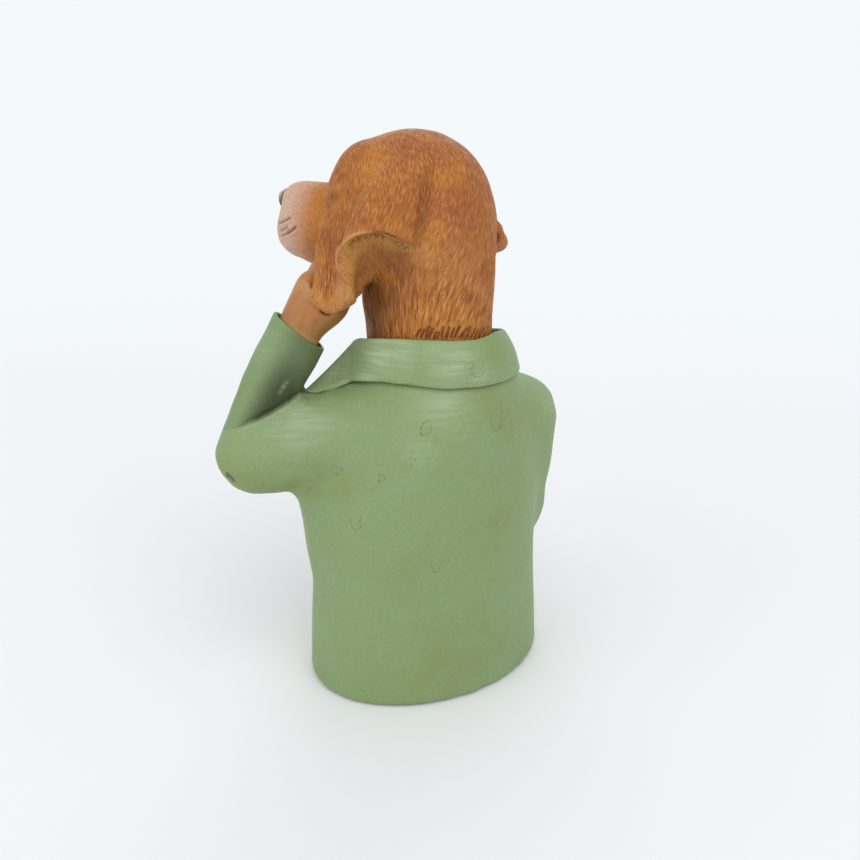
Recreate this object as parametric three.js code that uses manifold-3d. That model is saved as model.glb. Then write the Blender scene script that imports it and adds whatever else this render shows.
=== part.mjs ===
// A dog figurine: the upper half of a dog in a buttoned jacket, with its head turned to its left
// and its left paw raised to its ear. The real one is a rigid, hand-painted resin figure, made as
// separate castings that are bonded on spigots, pins and seats.
// Millimetres, +Z up, the dog faces -Y and its left side is +X. The origin is on the surface that
// the figurine stands on, under the middle of the hem.
import * as THREE from 'three';
import { mergeVertices } from 'three/addons/utils/BufferGeometryUtils.js';
import Module from 'manifold-3d';

const wasm = await Module();
wasm.setup();

const { abs, cos, hypot, max, min, PI, sin } = Math;
const { degToRad, smoothstep } = THREE.MathUtils;
const vec = (x, y, z) => new THREE.Vector3(x, y, z);

// Fits between bonded pieces
const GLUE_GAP = 0.3;
const SEAT_GAP = 0.5;
const PIN_RADIUS = 3;
const NECK_PIN_LENGTH = 24;
const ELBOW_PIN_LENGTH = 15;

// Jacket body: half widths and half depths of its oval at the hem, waist, chest and shoulders
const HEM_HALF_WIDTH = 57.4;
const HEM_HALF_DEPTH = 43.6;
const WAIST_HEIGHT = 46;
const WAIST_HALF_WIDTH = 55;
const WAIST_HALF_DEPTH = 41;
const CHEST_HEIGHT = 90;
const CHEST_HALF_WIDTH = 52;
const CHEST_HALF_DEPTH = 40;
const SHOULDER_HEIGHT = 122;
const SHOULDER_HALF_WIDTH = 45;
const SHOULDER_HALF_DEPTH = 38;
const YOKE_HEIGHT = 138;
const YOKE_HALF_WIDTH = 37;
const YOKE_HALF_DEPTH = 34;
const JACKET_CELL = 8.4;
const JACKET_BLEND = 9;

// Neck stand on top of the jacket body, with the socket for the neck's spigot
const NECK_X = -6.5;
const NECK_Y = -3.7;
const STAND_HEIGHT = 147;
const STAND_RADIUS = 28;
const SPIGOT_RADIUS = 22;
const SPIGOT_LENGTH = 20;

// Hollow of the jacket body, and the plate and felt that close it below
const JACKET_WALL = 9;
const HOLLOW_TOP = 106;
const HOLLOW_SIDES = 28;
const HEM_LIFT = 0.6;
const FELT_THICKNESS = 1.6;
const PLATE_THICKNESS = 4;
const PLATE_MARGIN = 5;

// Sleeves: centre points and radii
const LEFT_SHOULDER = vec(40, -11, 115.3);
const LEFT_SHOULDER_RADIUS = 21.2;
const LEFT_ELBOW = vec(75, -14, 110.5);
const LEFT_ELBOW_RADIUS = 15.5;
const FOREARM_START = vec(80.2, -15.9, 112);
const FOREARM_RADIUS = 10.9;
const LEFT_CUFF = vec(50.6, -17.2, 160.6);
const LEFT_RIM_SLANT = vec(0.13, -0.22, 0);
const RIGHT_SHOULDER = vec(-49, 0, 113.5);
const RIGHT_SHOULDER_RADIUS = 18;
const RIGHT_ELBOW = vec(-53, -8, 64);
const RIGHT_ELBOW_RADIUS = 15;
const RIGHT_FOREARM_BEND = vec(-26, -43, 58);
const RIGHT_CUFF = vec(-3, -48, 62);
const CUFF_RADIUS = 12.4;
const CUFF_WALL = 1.5;
const CUFF_MOUTH_DEPTH = 5;
const ELBOW_CREASE = 1.5;
const ELBOW_CUT_RADIUS = 17.6;
const ELBOW_CUT_BACK = 20;
const SLEEVE_CELL = 5.8;

// The fold of the jacket that hangs below the raised arm
const FOLD_TOP = vec(43, -8, 92);
const FOLD_TOP_RADIUS = 15.5;
const FOLD_FOOT = vec(42, -9, 62);
const FOLD_FOOT_RADIUS = 11;

// Paws
const WRIST_RADIUS = 10.2;
const WRIST_SPIGOT_RADIUS = 7.5;
const WRIST_SPIGOT_LENGTH = 12;
const PAW_RADIUS = 11.4;
const TOE_COUNT = 4;
const TOE_RADIUS = 4.6;
const TOE_PITCH = 5.4;
const TOE_LENGTH = 10;
const LEFT_PALM = vec(39.8, -15.7, 172.8);
const LEFT_TOE_AXIS = vec(-0.6, -0.2, 0.75);
const RIGHT_PALM = vec(9.7, -50.8, 64);
const RIGHT_TOE_AXIS = vec(0.97, 0.2, 0);
const PAW_BLEND = 2;
const PAW_CELL = 4.3;

// Collar: a band round the neck that turns down over the shoulders
const COLLAR_RIM_BACK = 160.5;
const COLLAR_RIM_FRONT = 149;
const COLLAR_CLEARANCE = 0.5;
const COLLAR_STANDOFF = 4.5;
const COLLAR_STANDOFF_ANGLE = 120;
const COLLAR_RIM_THICKNESS = 1.3;
const COLLAR_THICKNESS = 2.4;
const COLLAR_LEFT_RISE = 4;
const COLLAR_LIP_BACK = 141.5;
const COLLAR_LIP_FRONT = 124;
const COLLAR_OPENING = 9;
const COLLAR_POINT_ANGLE = 26;
const COLLAR_ARCH = 1;
const COLLAR_EDGE_ROUND = 0.8;
const COLLAR_STEPS = 36;

// Head in its own frame: Z is the axis of the neck and the muzzle points along -Y
const HEAD_TURN = 30;
const HEAD_TOP = 240;
const headPoint = (x, y, drop) => vec(x, y, HEAD_TOP - drop);
const NECK_RADIUS = 28.2;
const SKULL_HALF_WIDTH = 32.5;
const SKULL_HALF_LENGTH = 34;
const SKULL_HALF_HEIGHT = 33;
const SKULL_FORWARD = 10;
const MUZZLE_REACH = 77.5;
const MUZZLE_RADIUS = 12.8;
const MUZZLE_ROOT_RADIUS = 16;
const MUZZLE_ROOT_FORWARD = 28;
const MUZZLE_HEIGHT = HEAD_TOP - 36;
const BRIDGE_SETBACK = 12;
const BRIDGE_HEIGHT = HEAD_TOP - 31.8;
const BRIDGE_RADIUS = 7.8;
const FLEW_SPREAD = 7;
const FLEW_SETBACK = 17;
const FLEW_HEIGHT = HEAD_TOP - 45;
const FLEW_HALF_WIDTH = 9.5;
const FLEW_HALF_LENGTH = 17;
const FLEW_HALF_HEIGHT = 11;
const JAW_ROOT = headPoint(0, -20, 52);
const JAW_ROOT_RADIUS = 13;
const JAW_SETBACK = 22;
const JAW_TIP_HEIGHT = HEAD_TOP - 53;
const JAW_TIP_RADIUS = 8;
const BROW = headPoint(11, -26, 18.5);
const BROW_HALF_WIDTH = 12;
const BROW_HALF_LENGTH = 11;
const BROW_HALF_HEIGHT = 12;
const CHEEK = headPoint(20, -29, 29);
const CHEEK_RADIUS = 9.5;
const CHEEK_HALF_HEIGHT = 12;
const EYE_RADIUS = 5.4;
const EYE_DEPTH = 3.7;
const EYE_SPREAD = 12.5;
const EYE_HEIGHT = HEAD_TOP - 22.5;
const NOSE_HALF_WIDTH = 6.4;
const NOSE_HALF_LENGTH = 5;
const NOSE_HALF_HEIGHT = 4.8;
const NOSE_SETBACK = 3;
const NOSE_HEIGHT = HEAD_TOP - 31;
const NOSE_STEM_DROP = 5;
const NOSE_STEM_RADIUS = 4;
const NOSE_BLEND = 4;
const NOSE_CELL = 2.5;
const MOUTH_LINE_RADIUS = 0.9;
const MOUTH_HEIGHT = HEAD_TOP - 47;
const MOUTH_SAG = 2.5;
const MOUTH_SETBACK = 26;
const MOUTH_REACH = 44;
const EAR_THICKNESS = 4.2;
const EAR_EDGE_THINNING = 0.4;
const EAR_STEPS_ACROSS = 18;
const EAR_STEPS_DOWN = 7;
const HEAD_CELL = 5.7;
const HEAD_ROOM = 20;
const HEAD_BLEND = 7;

// Buttons and the front edge of the jacket
const BUTTON_RADIUS = 5.2;
const BUTTON_THICKNESS = 3;
const BUTTON_SEAT_DEPTH = 0.8;
const BUTTON_LEVELS = { top: 108, middle: 90, low: 30 };
const FRONT_EDGE_OFFSET = 9;
const FRONT_EDGE_GROOVE = 0.9;
const FRONT_EDGE_BREAK = 20;
const FRONT_EDGE_TOP = 130;

// Paint and material of each kind of surface
const finish = (color, roughness, metalness = 0) =>
  new THREE.MeshStandardMaterial({ color, roughness, metalness });
const jacketGreen = finish(0x87a372, 0.5);
const furRusset = finish(0xa5673a, 0.62);
const pawOchre = finish(0xa46b3a, 0.5);
const noseDark = finish(0x3a2f2b, 0.3);
const eyeDark = finish(0x24150d, 0.12);
const buttonBrown = finish(0x5d4630, 0.4);
const resinPale = finish(0xcfc8b8, 0.7);
const feltGreen = finish(0x3d5138, 0.95);
const pinSteel = finish(0x9a9c9e, 0.35, 1);

// Solids: closed geometry in, closed geometry out
function solid(geometry) {
  const bare = geometry.index ? geometry.toNonIndexed() : geometry.clone();
  for (const name of Object.keys(bare.attributes)) {
    if (name !== 'position') bare.deleteAttribute(name);
  }
  const merged = mergeVertices(bare, 1e-4);
  return new wasm.Manifold(new wasm.Mesh({
    numProp: 3,
    vertProperties: new Float32Array(merged.attributes.position.array),
    triVerts: new Uint32Array(merged.index.array),
  }));
}

function piece(name, body, material) {
  const { vertProperties, triVerts } = body.getMesh();
  const geometry = new THREE.BufferGeometry();
  geometry.setAttribute('position', new THREE.BufferAttribute(vertProperties, 3));
  geometry.setIndex(new THREE.BufferAttribute(triVerts, 1));
  const mesh = new THREE.Mesh(geometry, material);
  mesh.name = name;
  return mesh;
}

const past = (point, along, distance) => point.clone().addScaledVector(along, distance);

function placed(geometry, start, along) {
  const turn = new THREE.Quaternion().setFromUnitVectors(vec(0, 1, 0), along.clone().normalize());
  return solid(geometry.applyQuaternion(turn).translate(start.x, start.y, start.z));
}

// A round bar that starts at a point and runs along a direction
function bar(start, along, length, radius, sides = 28) {
  const geometry = new THREE.CylinderGeometry(radius, radius, length, sides);
  return placed(geometry.translate(0, length / 2, 0), start, along);
}

// A block that fills one side of a plane
function block(start, along, reach, halfWidth) {
  const geometry = new THREE.BoxGeometry(2 * halfWidth, reach, 2 * halfWidth);
  return placed(geometry.translate(0, reach / 2, 0), start, along);
}

// An upright oval plate between two levels
function ovalPlate(halfWidth, halfDepth, low, high) {
  const outline = new THREE.Shape();
  outline.absellipse(0, 0, halfWidth, halfDepth, 0, 2 * PI);
  const geometry = new THREE.ExtrudeGeometry(outline, {
    depth: high - low,
    bevelEnabled: false,
    curveSegments: 24,
  });
  return solid(geometry.translate(0, 0, low));
}

// Soft forms: each is a function of a point, below zero inside, that grows with the distance
const ball = (centre, halfWidth, halfDepth = halfWidth, halfHeight = halfWidth) => (x, y, z) => {
  const [dx, dy, dz] = [x - centre.x, y - centre.y, z - centre.z];
  const reach = hypot(dx / halfWidth, dy / halfDepth, dz / halfHeight);
  const slope = hypot(dx / halfWidth ** 2, dy / halfDepth ** 2, dz / halfHeight ** 2);
  return slope < 1e-9 ? -min(halfWidth, halfDepth, halfHeight) : (reach * (reach - 1)) / slope;
};

const limb = (a, b, radiusA, radiusB) => {
  const along = b.clone().sub(a);
  const span = along.lengthSq();
  return (x, y, z) => {
    const dot = (x - a.x) * along.x + (y - a.y) * along.y + (z - a.z) * along.z;
    const t = min(1, max(0, dot / span));
    const gap = hypot(x - a.x - t * along.x, y - a.y - t * along.y, z - a.z - t * along.z);
    return gap - radiusA - (radiusB - radiusA) * t;
  };
};

const softMin = (a, b, k) => {
  const h = max(0, k - abs(a - b)) / k;
  return min(a, b) - (h * h * k) / 4;
};
const blend = (k, ...forms) => (x, y, z) => forms.map((form) => form(x, y, z))
  .reduce((a, b) => softMin(a, b, k));
const grown = (form, gap) => (x, y, z) => form(x, y, z) - gap;
const between = (form, low, high) => (x, y, z) => max(form(x, y, z), z - high, low - z);

// A point near the skin of a form, moved on to it
function settled(form, start, cell) {
  const p = start.clone();
  const h = 0.05;
  for (let pass = 0; pass < 3; pass++) {
    const slope = vec(
      form(p.x + h, p.y, p.z) - form(p.x - h, p.y, p.z),
      form(p.x, p.y + h, p.z) - form(p.x, p.y - h, p.z),
      form(p.x, p.y, p.z + h) - form(p.x, p.y, p.z - h),
    ).divideScalar(2 * h);
    const move = slope.multiplyScalar(-form(p.x, p.y, p.z) / max(slope.lengthSq(), h));
    p.add(move.clampLength(0, cell / 3));
  }
  return p;
}

// The skin of a soft form on a grid of cells: one point in each cell that the skin crosses,
// and one four-sided face across each edge of the grid that it crosses
function sculpt(form, low, high, cell) {
  const [nx, ny, nz] = high.clone().sub(low).divideScalar(cell).ceil().addScalar(1).toArray();
  const at = (i, j, k) => i + nx * (j + ny * k);
  const value = new Float64Array(nx * ny * nz);
  for (let n = 0; n < value.length; n++) {
    const [i, j, k] = [n % nx, Math.floor(n / nx) % ny, Math.floor(n / nx / ny)];
    value[n] = form(low.x + i * cell, low.y + j * cell, low.z + k * cell);
  }
  const points = [];
  const pointOf = new Int32Array(value.length).fill(-1);
  const corners = [0, 1, 2, 3, 4, 5, 6, 7].map((c) => [c & 1, (c >> 1) & 1, c >> 2]);
  const edges = corners.flatMap((a, c) => [1, 2, 4].filter((bit) => !(c & bit))
    .map((bit) => [a, corners[c | bit]]));
  const addPoint = (i, j, k) => {
    const mean = vec(0, 0, 0);
    let crossings = 0;
    for (const [a, b] of edges) {
      const va = value[at(i + a[0], j + a[1], k + a[2])];
      const vb = value[at(i + b[0], j + b[1], k + b[2])];
      if (va < 0 === vb < 0) continue;
      mean.add(vec(...a).lerp(vec(...b), va / (va - vb)));
      crossings++;
    }
    if (!crossings) return;
    mean.divideScalar(crossings).add(vec(i, j, k)).multiplyScalar(cell).add(low);
    pointOf[at(i, j, k)] = points.length;
    points.push(settled(form, mean, cell));
  };
  for (let k = 0; k < nz - 1; k++) {
    for (let j = 0; j < ny - 1; j++) {
      for (let i = 0; i < nx - 1; i++) addPoint(i, j, k);
    }
  }
  const faces = [];
  const addFace = (ring) => {
    const [p, q, r, s] = ring.map((n) => points[n]);
    const cut = p.distanceTo(r) < q.distanceTo(s) ? [0, 1, 2, 0, 2, 3] : [0, 1, 3, 1, 2, 3];
    faces.push(...cut.map((n) => ring[n]));
  };
  const turns = [
    { step: [1, 0, 0], ring: [[0, 1, 1], [0, 0, 1], [0, 0, 0], [0, 1, 0]] },
    { step: [0, 1, 0], ring: [[1, 0, 1], [1, 0, 0], [0, 0, 0], [0, 0, 1]] },
    { step: [0, 0, 1], ring: [[1, 1, 0], [0, 1, 0], [0, 0, 0], [1, 0, 0]] },
  ];
  for (let k = 1; k < nz - 1; k++) {
    for (let j = 1; j < ny - 1; j++) {
      for (let i = 1; i < nx - 1; i++) {
        const inside = value[at(i, j, k)] < 0;
        for (const { step, ring } of turns) {
          if (inside === value[at(i + step[0], j + step[1], k + step[2])] < 0) continue;
          const round = ring.map(([a, b, c]) => pointOf[at(i - a, j - b, k - c)]);
          addFace(inside ? round : round.reverse());
        }
      }
    }
  }
  const geometry = new THREE.BufferGeometry();
  const flat = points.flatMap((p) => p.toArray());
  geometry.setAttribute('position', new THREE.Float32BufferAttribute(flat, 3));
  geometry.setIndex(faces);
  return solid(geometry);
}

// Where a straight line from a point outside first meets a form
function meet(form, start, along, reach = 120) {
  let step = 1;
  const way = along.clone().normalize();
  const p = start.clone();
  for (let gone = 0; gone < reach && form(p.x, p.y, p.z) > 0; gone += step) p.addScaledVector(way, step);
  while (step > 0.01) {
    step /= 2;
    p.addScaledVector(way, form(p.x, p.y, p.z) > 0 ? step : -step);
  }
  return p;
}

// A closed skin over rows of points: each row is a ring, and the first and last rings are capped
function loft(rings) {
  const size = rings[0].length;
  const faces = [];
  for (let r = 0; r < rings.length - 1; r++) {
    for (let n = 0; n < size; n++) {
      const [a, b] = [r * size + n, r * size + ((n + 1) % size)];
      faces.push(a, b, b + size, a, b + size, a + size);
    }
  }
  const last = (rings.length - 1) * size;
  for (let n = 1; n < size - 1; n++) {
    faces.push(0, n + 1, n);
    faces.push(last, last + n, last + n + 1);
  }
  const geometry = new THREE.BufferGeometry();
  const flat = rings.flat().flatMap((p) => p.toArray());
  geometry.setAttribute('position', new THREE.Float32BufferAttribute(flat, 3));
  geometry.setIndex(faces);
  return solid(geometry);
}

// A groove of round section along a line of points
function groove(points, radius) {
  const circle = new THREE.Shape();
  circle.absarc(0, 0, radius, 0, 2 * PI);
  const geometry = new THREE.ExtrudeGeometry(circle, {
    extrudePath: new THREE.CatmullRomCurve3(points),
    steps: 2 * points.length - 2,
    curveSegments: 3,
  });
  return solid(geometry);
}

// Jacket body: an oval column from the hem that leans towards the neck and narrows to its stand
const neckBase = vec(NECK_X, NECK_Y, STAND_HEIGHT);
const trunkBottom = -3 * JACKET_CELL;
const trunkTop = STAND_HEIGHT + JACKET_CELL;
const trunkStations = [
  [trunkBottom, HEM_HALF_WIDTH, HEM_HALF_DEPTH, 0, 0],
  [0, HEM_HALF_WIDTH, HEM_HALF_DEPTH, 0, 0],
  [WAIST_HEIGHT, WAIST_HALF_WIDTH, WAIST_HALF_DEPTH, 0, 0],
  [CHEST_HEIGHT, CHEST_HALF_WIDTH, CHEST_HALF_DEPTH, NECK_X / 3, NECK_Y / 3],
  [SHOULDER_HEIGHT, SHOULDER_HALF_WIDTH, SHOULDER_HALF_DEPTH, (2 * NECK_X) / 3, (2 * NECK_Y) / 3],
  [YOKE_HEIGHT, YOKE_HALF_WIDTH, YOKE_HALF_DEPTH, NECK_X, NECK_Y],
  [STAND_HEIGHT, STAND_RADIUS, STAND_RADIUS, NECK_X, NECK_Y],
  [trunkTop, STAND_RADIUS, STAND_RADIUS, NECK_X, NECK_Y],
];
const trunkOval = new THREE.CubicInterpolant(
  trunkStations.map((station) => station[0]),
  trunkStations.flatMap((station) => station.slice(1)),
  4,
);

function trunkSide(x, y, z) {
  const level = min(trunkTop, max(trunkBottom, z));
  const [halfWidth, halfDepth, midX, midY] = trunkOval.evaluate(level);
  const reach = hypot((x - midX) / halfWidth, (y - midY) / halfDepth);
  return (reach - 1) * min(halfWidth, halfDepth);
}
const trunk = between(trunkSide, trunkBottom, trunkTop);

// Sleeves: the right arm lies across the front, the left one is raised from a bent elbow
const leftForearmAxis = LEFT_CUFF.clone().sub(FOREARM_START).normalize();
const rightForearmAxis = RIGHT_CUFF.clone().sub(RIGHT_FOREARM_BEND).normalize();
const leftUpperArm = limb(LEFT_SHOULDER, LEFT_ELBOW, LEFT_SHOULDER_RADIUS, LEFT_ELBOW_RADIUS);
const upperBody = blend(
  JACKET_BLEND,
  trunk,
  limb(RIGHT_SHOULDER, RIGHT_ELBOW, RIGHT_SHOULDER_RADIUS, RIGHT_ELBOW_RADIUS),
  leftUpperArm,
  limb(FOLD_TOP, FOLD_FOOT, FOLD_TOP_RADIUS, FOLD_FOOT_RADIUS),
);
const leftRimAxis = leftForearmAxis.clone().sub(LEFT_RIM_SLANT).normalize();
const leftSleeveEnd = past(LEFT_CUFF, leftForearmAxis, JACKET_CELL);
const rightSleeveEnd = past(RIGHT_CUFF, rightForearmAxis, JACKET_CELL);
const leftForearm = limb(FOREARM_START, leftSleeveEnd, FOREARM_RADIUS, CUFF_RADIUS);
const rightForearm = blend(
  JACKET_BLEND,
  limb(RIGHT_ELBOW, RIGHT_FOREARM_BEND, RIGHT_ELBOW_RADIUS, CUFF_RADIUS + 1),
  limb(RIGHT_FOREARM_BEND, rightSleeveEnd, CUFF_RADIUS + 1, CUFF_RADIUS),
);
const jacketForm = blend(JACKET_BLEND, upperBody, rightForearm);
const raisedArm = blend(ELBOW_CREASE, leftUpperArm, leftForearm);

const roomAround = 4 * JACKET_CELL;
const jacketLow = vec(
  RIGHT_ELBOW.x - RIGHT_ELBOW_RADIUS - roomAround,
  min(RIGHT_CUFF.y, RIGHT_FOREARM_BEND.y) - CUFF_RADIUS - roomAround,
  trunkBottom - 2 * JACKET_CELL,
);
const jacketHigh = vec(
  LEFT_ELBOW.x + LEFT_ELBOW_RADIUS + roomAround,
  HEM_HALF_DEPTH + roomAround,
  leftSleeveEnd.z + CUFF_RADIUS + roomAround,
);
const up = vec(0, 0, 1);
const down = vec(0, 0, -1);
const wide = 200;

// The raised sleeve is cut off at a mitre through the elbow, where it is bonded on a pin
const upperArmBack = LEFT_SHOULDER.clone().sub(LEFT_ELBOW).normalize();
const mitre = leftForearmAxis.clone().sub(upperArmBack).normalize();
const forearmSide = (gap) => block(past(LEFT_ELBOW, mitre, gap), mitre, wide, wide)
  .intersect(bar(past(FOREARM_START, leftForearmAxis, -ELBOW_CUT_BACK), leftForearmAxis, wide,
    ELBOW_CUT_RADIUS - gap));

const pastCuff = (cuff, axis) => bar(cuff, axis, 4 * CUFF_RADIUS, 2 * CUFF_RADIUS);
const sculptBody = (form) => sculpt(form, jacketLow, jacketHigh, JACKET_CELL);
const jacketBlank = sculptBody(jacketForm)
  .subtract(pastCuff(RIGHT_CUFF, rightForearmAxis).subtract(sculptBody(upperBody)))
  .subtract(block(vec(0, 0, HEM_LIFT), down, wide, wide))
  .subtract(block(neckBase, up, wide, STAND_RADIUS + GLUE_GAP));
const armRoom = 2 * LEFT_SHOULDER_RADIUS;
const sculptArm = (gap) => sculpt(
  grown(raisedArm, gap),
  LEFT_SHOULDER.clone().min(LEFT_CUFF).subScalar(armRoom),
  LEFT_ELBOW.clone().max(LEFT_CUFF).addScalar(armRoom),
  SLEEVE_CELL,
);

// The mouth of a cuff and, behind it, the socket for the spigot of the wrist
const wristSeat = (cuff, axis) => past(cuff, axis, -CUFF_MOUTH_DEPTH);
const cuffMouth = (cuff, axis) =>
  bar(wristSeat(cuff, axis), axis, 2 * CUFF_MOUTH_DEPTH, CUFF_RADIUS - CUFF_WALL)
    .add(bar(cuff, axis.clone().negate(), CUFF_MOUTH_DEPTH + WRIST_SPIGOT_LENGTH + GLUE_GAP,
      WRIST_SPIGOT_RADIUS + GLUE_GAP));

// A pin through the middle of a joint face, or the hole for it
const pin = (middle, along, length, gap) =>
  bar(past(middle, along, -length / 2 - gap), along, length + 2 * gap, PIN_RADIUS + gap, 20);
const neckSocketFloor = vec(NECK_X, NECK_Y, STAND_HEIGHT - SPIGOT_LENGTH);
const neckPin = (gap) => pin(neckSocketFloor, up, NECK_PIN_LENGTH, gap);
const elbowPin = (gap) => pin(LEFT_ELBOW, mitre, ELBOW_PIN_LENGTH, gap);

// Hollow of the body, and the plate and felt under it
function hollowRing(level) {
  const [halfWidth, halfDepth, midX, midY] = trunkOval.evaluate(level);
  return Array.from({ length: HOLLOW_SIDES }, (_, n) => {
    const angle = (2 * PI * n) / HOLLOW_SIDES;
    const x = midX + (halfWidth - JACKET_WALL) * cos(angle);
    return vec(x, midY + (halfDepth - JACKET_WALL) * sin(angle), level);
  });
}
const hollow = loft([-JACKET_CELL, WAIST_HEIGHT, CHEST_HEIGHT, HOLLOW_TOP].map(hollowRing));
const plateTop = FELT_THICKNESS + PLATE_THICKNESS;
const plateOval = (gap, low, high) => ovalPlate(
  HEM_HALF_WIDTH - PLATE_MARGIN + gap,
  HEM_HALF_DEPTH - PLATE_MARGIN + gap,
  low,
  high,
);

// Buttons sit in shallow seats down the front of the jacket
const forward = vec(0, -1, 0);
const frontPoint = (x, z) => meet(jacketForm, vec(x, -wide, z), vec(0, 1, 0), 2 * wide);
const buttonSeat = (level) => {
  const midX = trunkOval.evaluate(level)[2];
  return past(frontPoint(midX, level), forward, -BUTTON_SEAT_DEPTH);
};
function button(level) {
  const [r, t] = [BUTTON_RADIUS, BUTTON_THICKNESS];
  const half = [[0, 0], [r, 0], [r, 0.6 * t], [0.86 * r, t], [0.7 * r, 0.78 * t], [0, 0.7 * t]];
  const profile = half.map(([x, y]) => new THREE.Vector2(x, y));
  const lathe = new THREE.LatheGeometry(profile, 20);
  return placed(lathe, past(buttonSeat(level), forward, GLUE_GAP), forward);
}

// The jacket's front edge shows as a groove beside the buttons, above and below the right sleeve
function frontEdge(low, high) {
  const count = 6;
  const points = Array.from({ length: count }, (_, n) => {
    const level = low + ((high - low) * n) / (count - 1);
    return frontPoint(trunkOval.evaluate(level)[2] - FRONT_EDGE_OFFSET, level);
  });
  return groove(points, FRONT_EDGE_GROOVE);
}

let jacketBody = jacketBlank
  .subtract(forearmSide(-GLUE_GAP / 2))
  .subtract(cuffMouth(RIGHT_CUFF, rightForearmAxis))
  .subtract(bar(neckBase, down, SPIGOT_LENGTH, SPIGOT_RADIUS + GLUE_GAP))
  .subtract(neckPin(GLUE_GAP))
  .subtract(elbowPin(GLUE_GAP))
  .subtract(hollow)
  .subtract(plateOval(GLUE_GAP, -1, plateTop + GLUE_GAP))
  .subtract(frontEdge(-HEM_LIFT, RIGHT_CUFF.z - FRONT_EDGE_BREAK))
  .subtract(frontEdge(RIGHT_CUFF.z + FRONT_EDGE_BREAK, FRONT_EDGE_TOP));
for (const level of Object.values(BUTTON_LEVELS)) {
  const seat = bar(buttonSeat(level), forward, 4 * BUTTON_THICKNESS, BUTTON_RADIUS + GLUE_GAP);
  jacketBody = jacketBody.subtract(seat);
}
const forearmBody = sculptArm(0)
  .subtract(pastCuff(LEFT_CUFF, leftRimAxis))
  .intersect(forearmSide(GLUE_GAP / 2))
  .subtract(cuffMouth(LEFT_CUFF, leftForearmAxis))
  .subtract(elbowPin(GLUE_GAP));
const bodyRoom = sculptBody(grown(upperBody, SEAT_GAP));

// Collar: at each step round the neck, a section from the rim down to the lip on the shoulders
function collarSection(turn) {
  const rimTurn = turn * (PI - degToRad(COLLAR_OPENING));
  const lipTurn = rimTurn - turn * degToRad(COLLAR_POINT_ANGLE) * abs(turn);
  const spot = (angle, radius, z) => vec(NECK_X + radius * sin(angle), NECK_Y + radius * cos(angle), z);
  const standoff = COLLAR_STANDOFF * max(0, cos(rimTurn - degToRad(COLLAR_STANDOFF_ANGLE))) ** 2;
  const inside = NECK_RADIUS + COLLAR_CLEARANCE + standoff;
  const backness = (1 + cos(rimTurn)) / 2;
  const rim = COLLAR_RIM_FRONT + (COLLAR_RIM_BACK - COLLAR_RIM_FRONT) * backness;
  const frontness = smoothstep(abs(lipTurn), PI / 4, (6 * PI) / 7);
  const lip = COLLAR_LIP_BACK + COLLAR_LEFT_RISE * max(0, sin(lipTurn))
    - (COLLAR_LIP_BACK - COLLAR_LIP_FRONT) * frontness;
  const inward = vec(-sin(lipTurn), -cos(lipTurn), 0);
  const seat = meet(upperBody, spot(lipTurn, wide, lip), inward, wide);
  const lipRadius = hypot(seat.x - NECK_X, seat.y - NECK_Y) + COLLAR_THICKNESS;
  const rimRadius = inside + COLLAR_RIM_THICKNESS;
  const rimEdge = rim - COLLAR_EDGE_ROUND;
  const shoulderPoint = (t) => {
    const angle = rimTurn + (lipTurn - rimTurn) * t;
    const arch = COLLAR_ARCH * sin(PI * t);
    const radius = rimRadius + (lipRadius - rimRadius) * t;
    return spot(angle, radius + arch, rimEdge + (lip - rimEdge) * t + arch);
  };
  const buried = COLLAR_LIP_FRONT - 3 * COLLAR_THICKNESS;
  const tuckedIn = lipRadius - 2 * COLLAR_THICKNESS;
  return [
    spot(rimTurn, inside, buried),
    spot(lipTurn, tuckedIn, buried),
    spot(lipTurn, tuckedIn + COLLAR_EDGE_ROUND, lip - COLLAR_THICKNESS),
    spot(lipTurn, lipRadius - COLLAR_EDGE_ROUND, lip - COLLAR_EDGE_ROUND),
    ...[1, 2 / 3, 1 / 3, 0].map(shoulderPoint),
    spot(rimTurn, inside + COLLAR_RIM_THICKNESS / 2, rim),
    spot(rimTurn, inside, rimEdge),
  ];
}
const collarRings = Array.from({ length: COLLAR_STEPS + 1 }, (_, n) =>
  collarSection((2 * n) / COLLAR_STEPS - 1));

// Head: skull, neck, muzzle with its lips and jaw, and brows, in the head's own frame
const skullCentre = vec(0, -SKULL_FORWARD, HEAD_TOP - SKULL_HALF_HEIGHT);
const muzzleTip = vec(0, MUZZLE_RADIUS - MUZZLE_REACH, MUZZLE_HEIGHT);
const bridge = vec(0, BRIDGE_SETBACK - MUZZLE_REACH, BRIDGE_HEIGHT);
const muzzleRoot = vec(0, -MUZZLE_ROOT_FORWARD, MUZZLE_HEIGHT);
const flew = vec(FLEW_SPREAD, FLEW_SETBACK - MUZZLE_REACH, FLEW_HEIGHT);
const jawTip = vec(0, JAW_SETBACK - MUZZLE_REACH, JAW_TIP_HEIGHT);
const mirrored = (centre, ...halves) => [1, -1]
  .map((side) => ball(vec(side * centre.x, centre.y, centre.z), ...halves));
const neckForm = limb(
  vec(0, 0, STAND_HEIGHT - NECK_RADIUS),
  vec(0, -3, skullCentre.z - 12),
  NECK_RADIUS,
  NECK_RADIUS,
);
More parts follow.
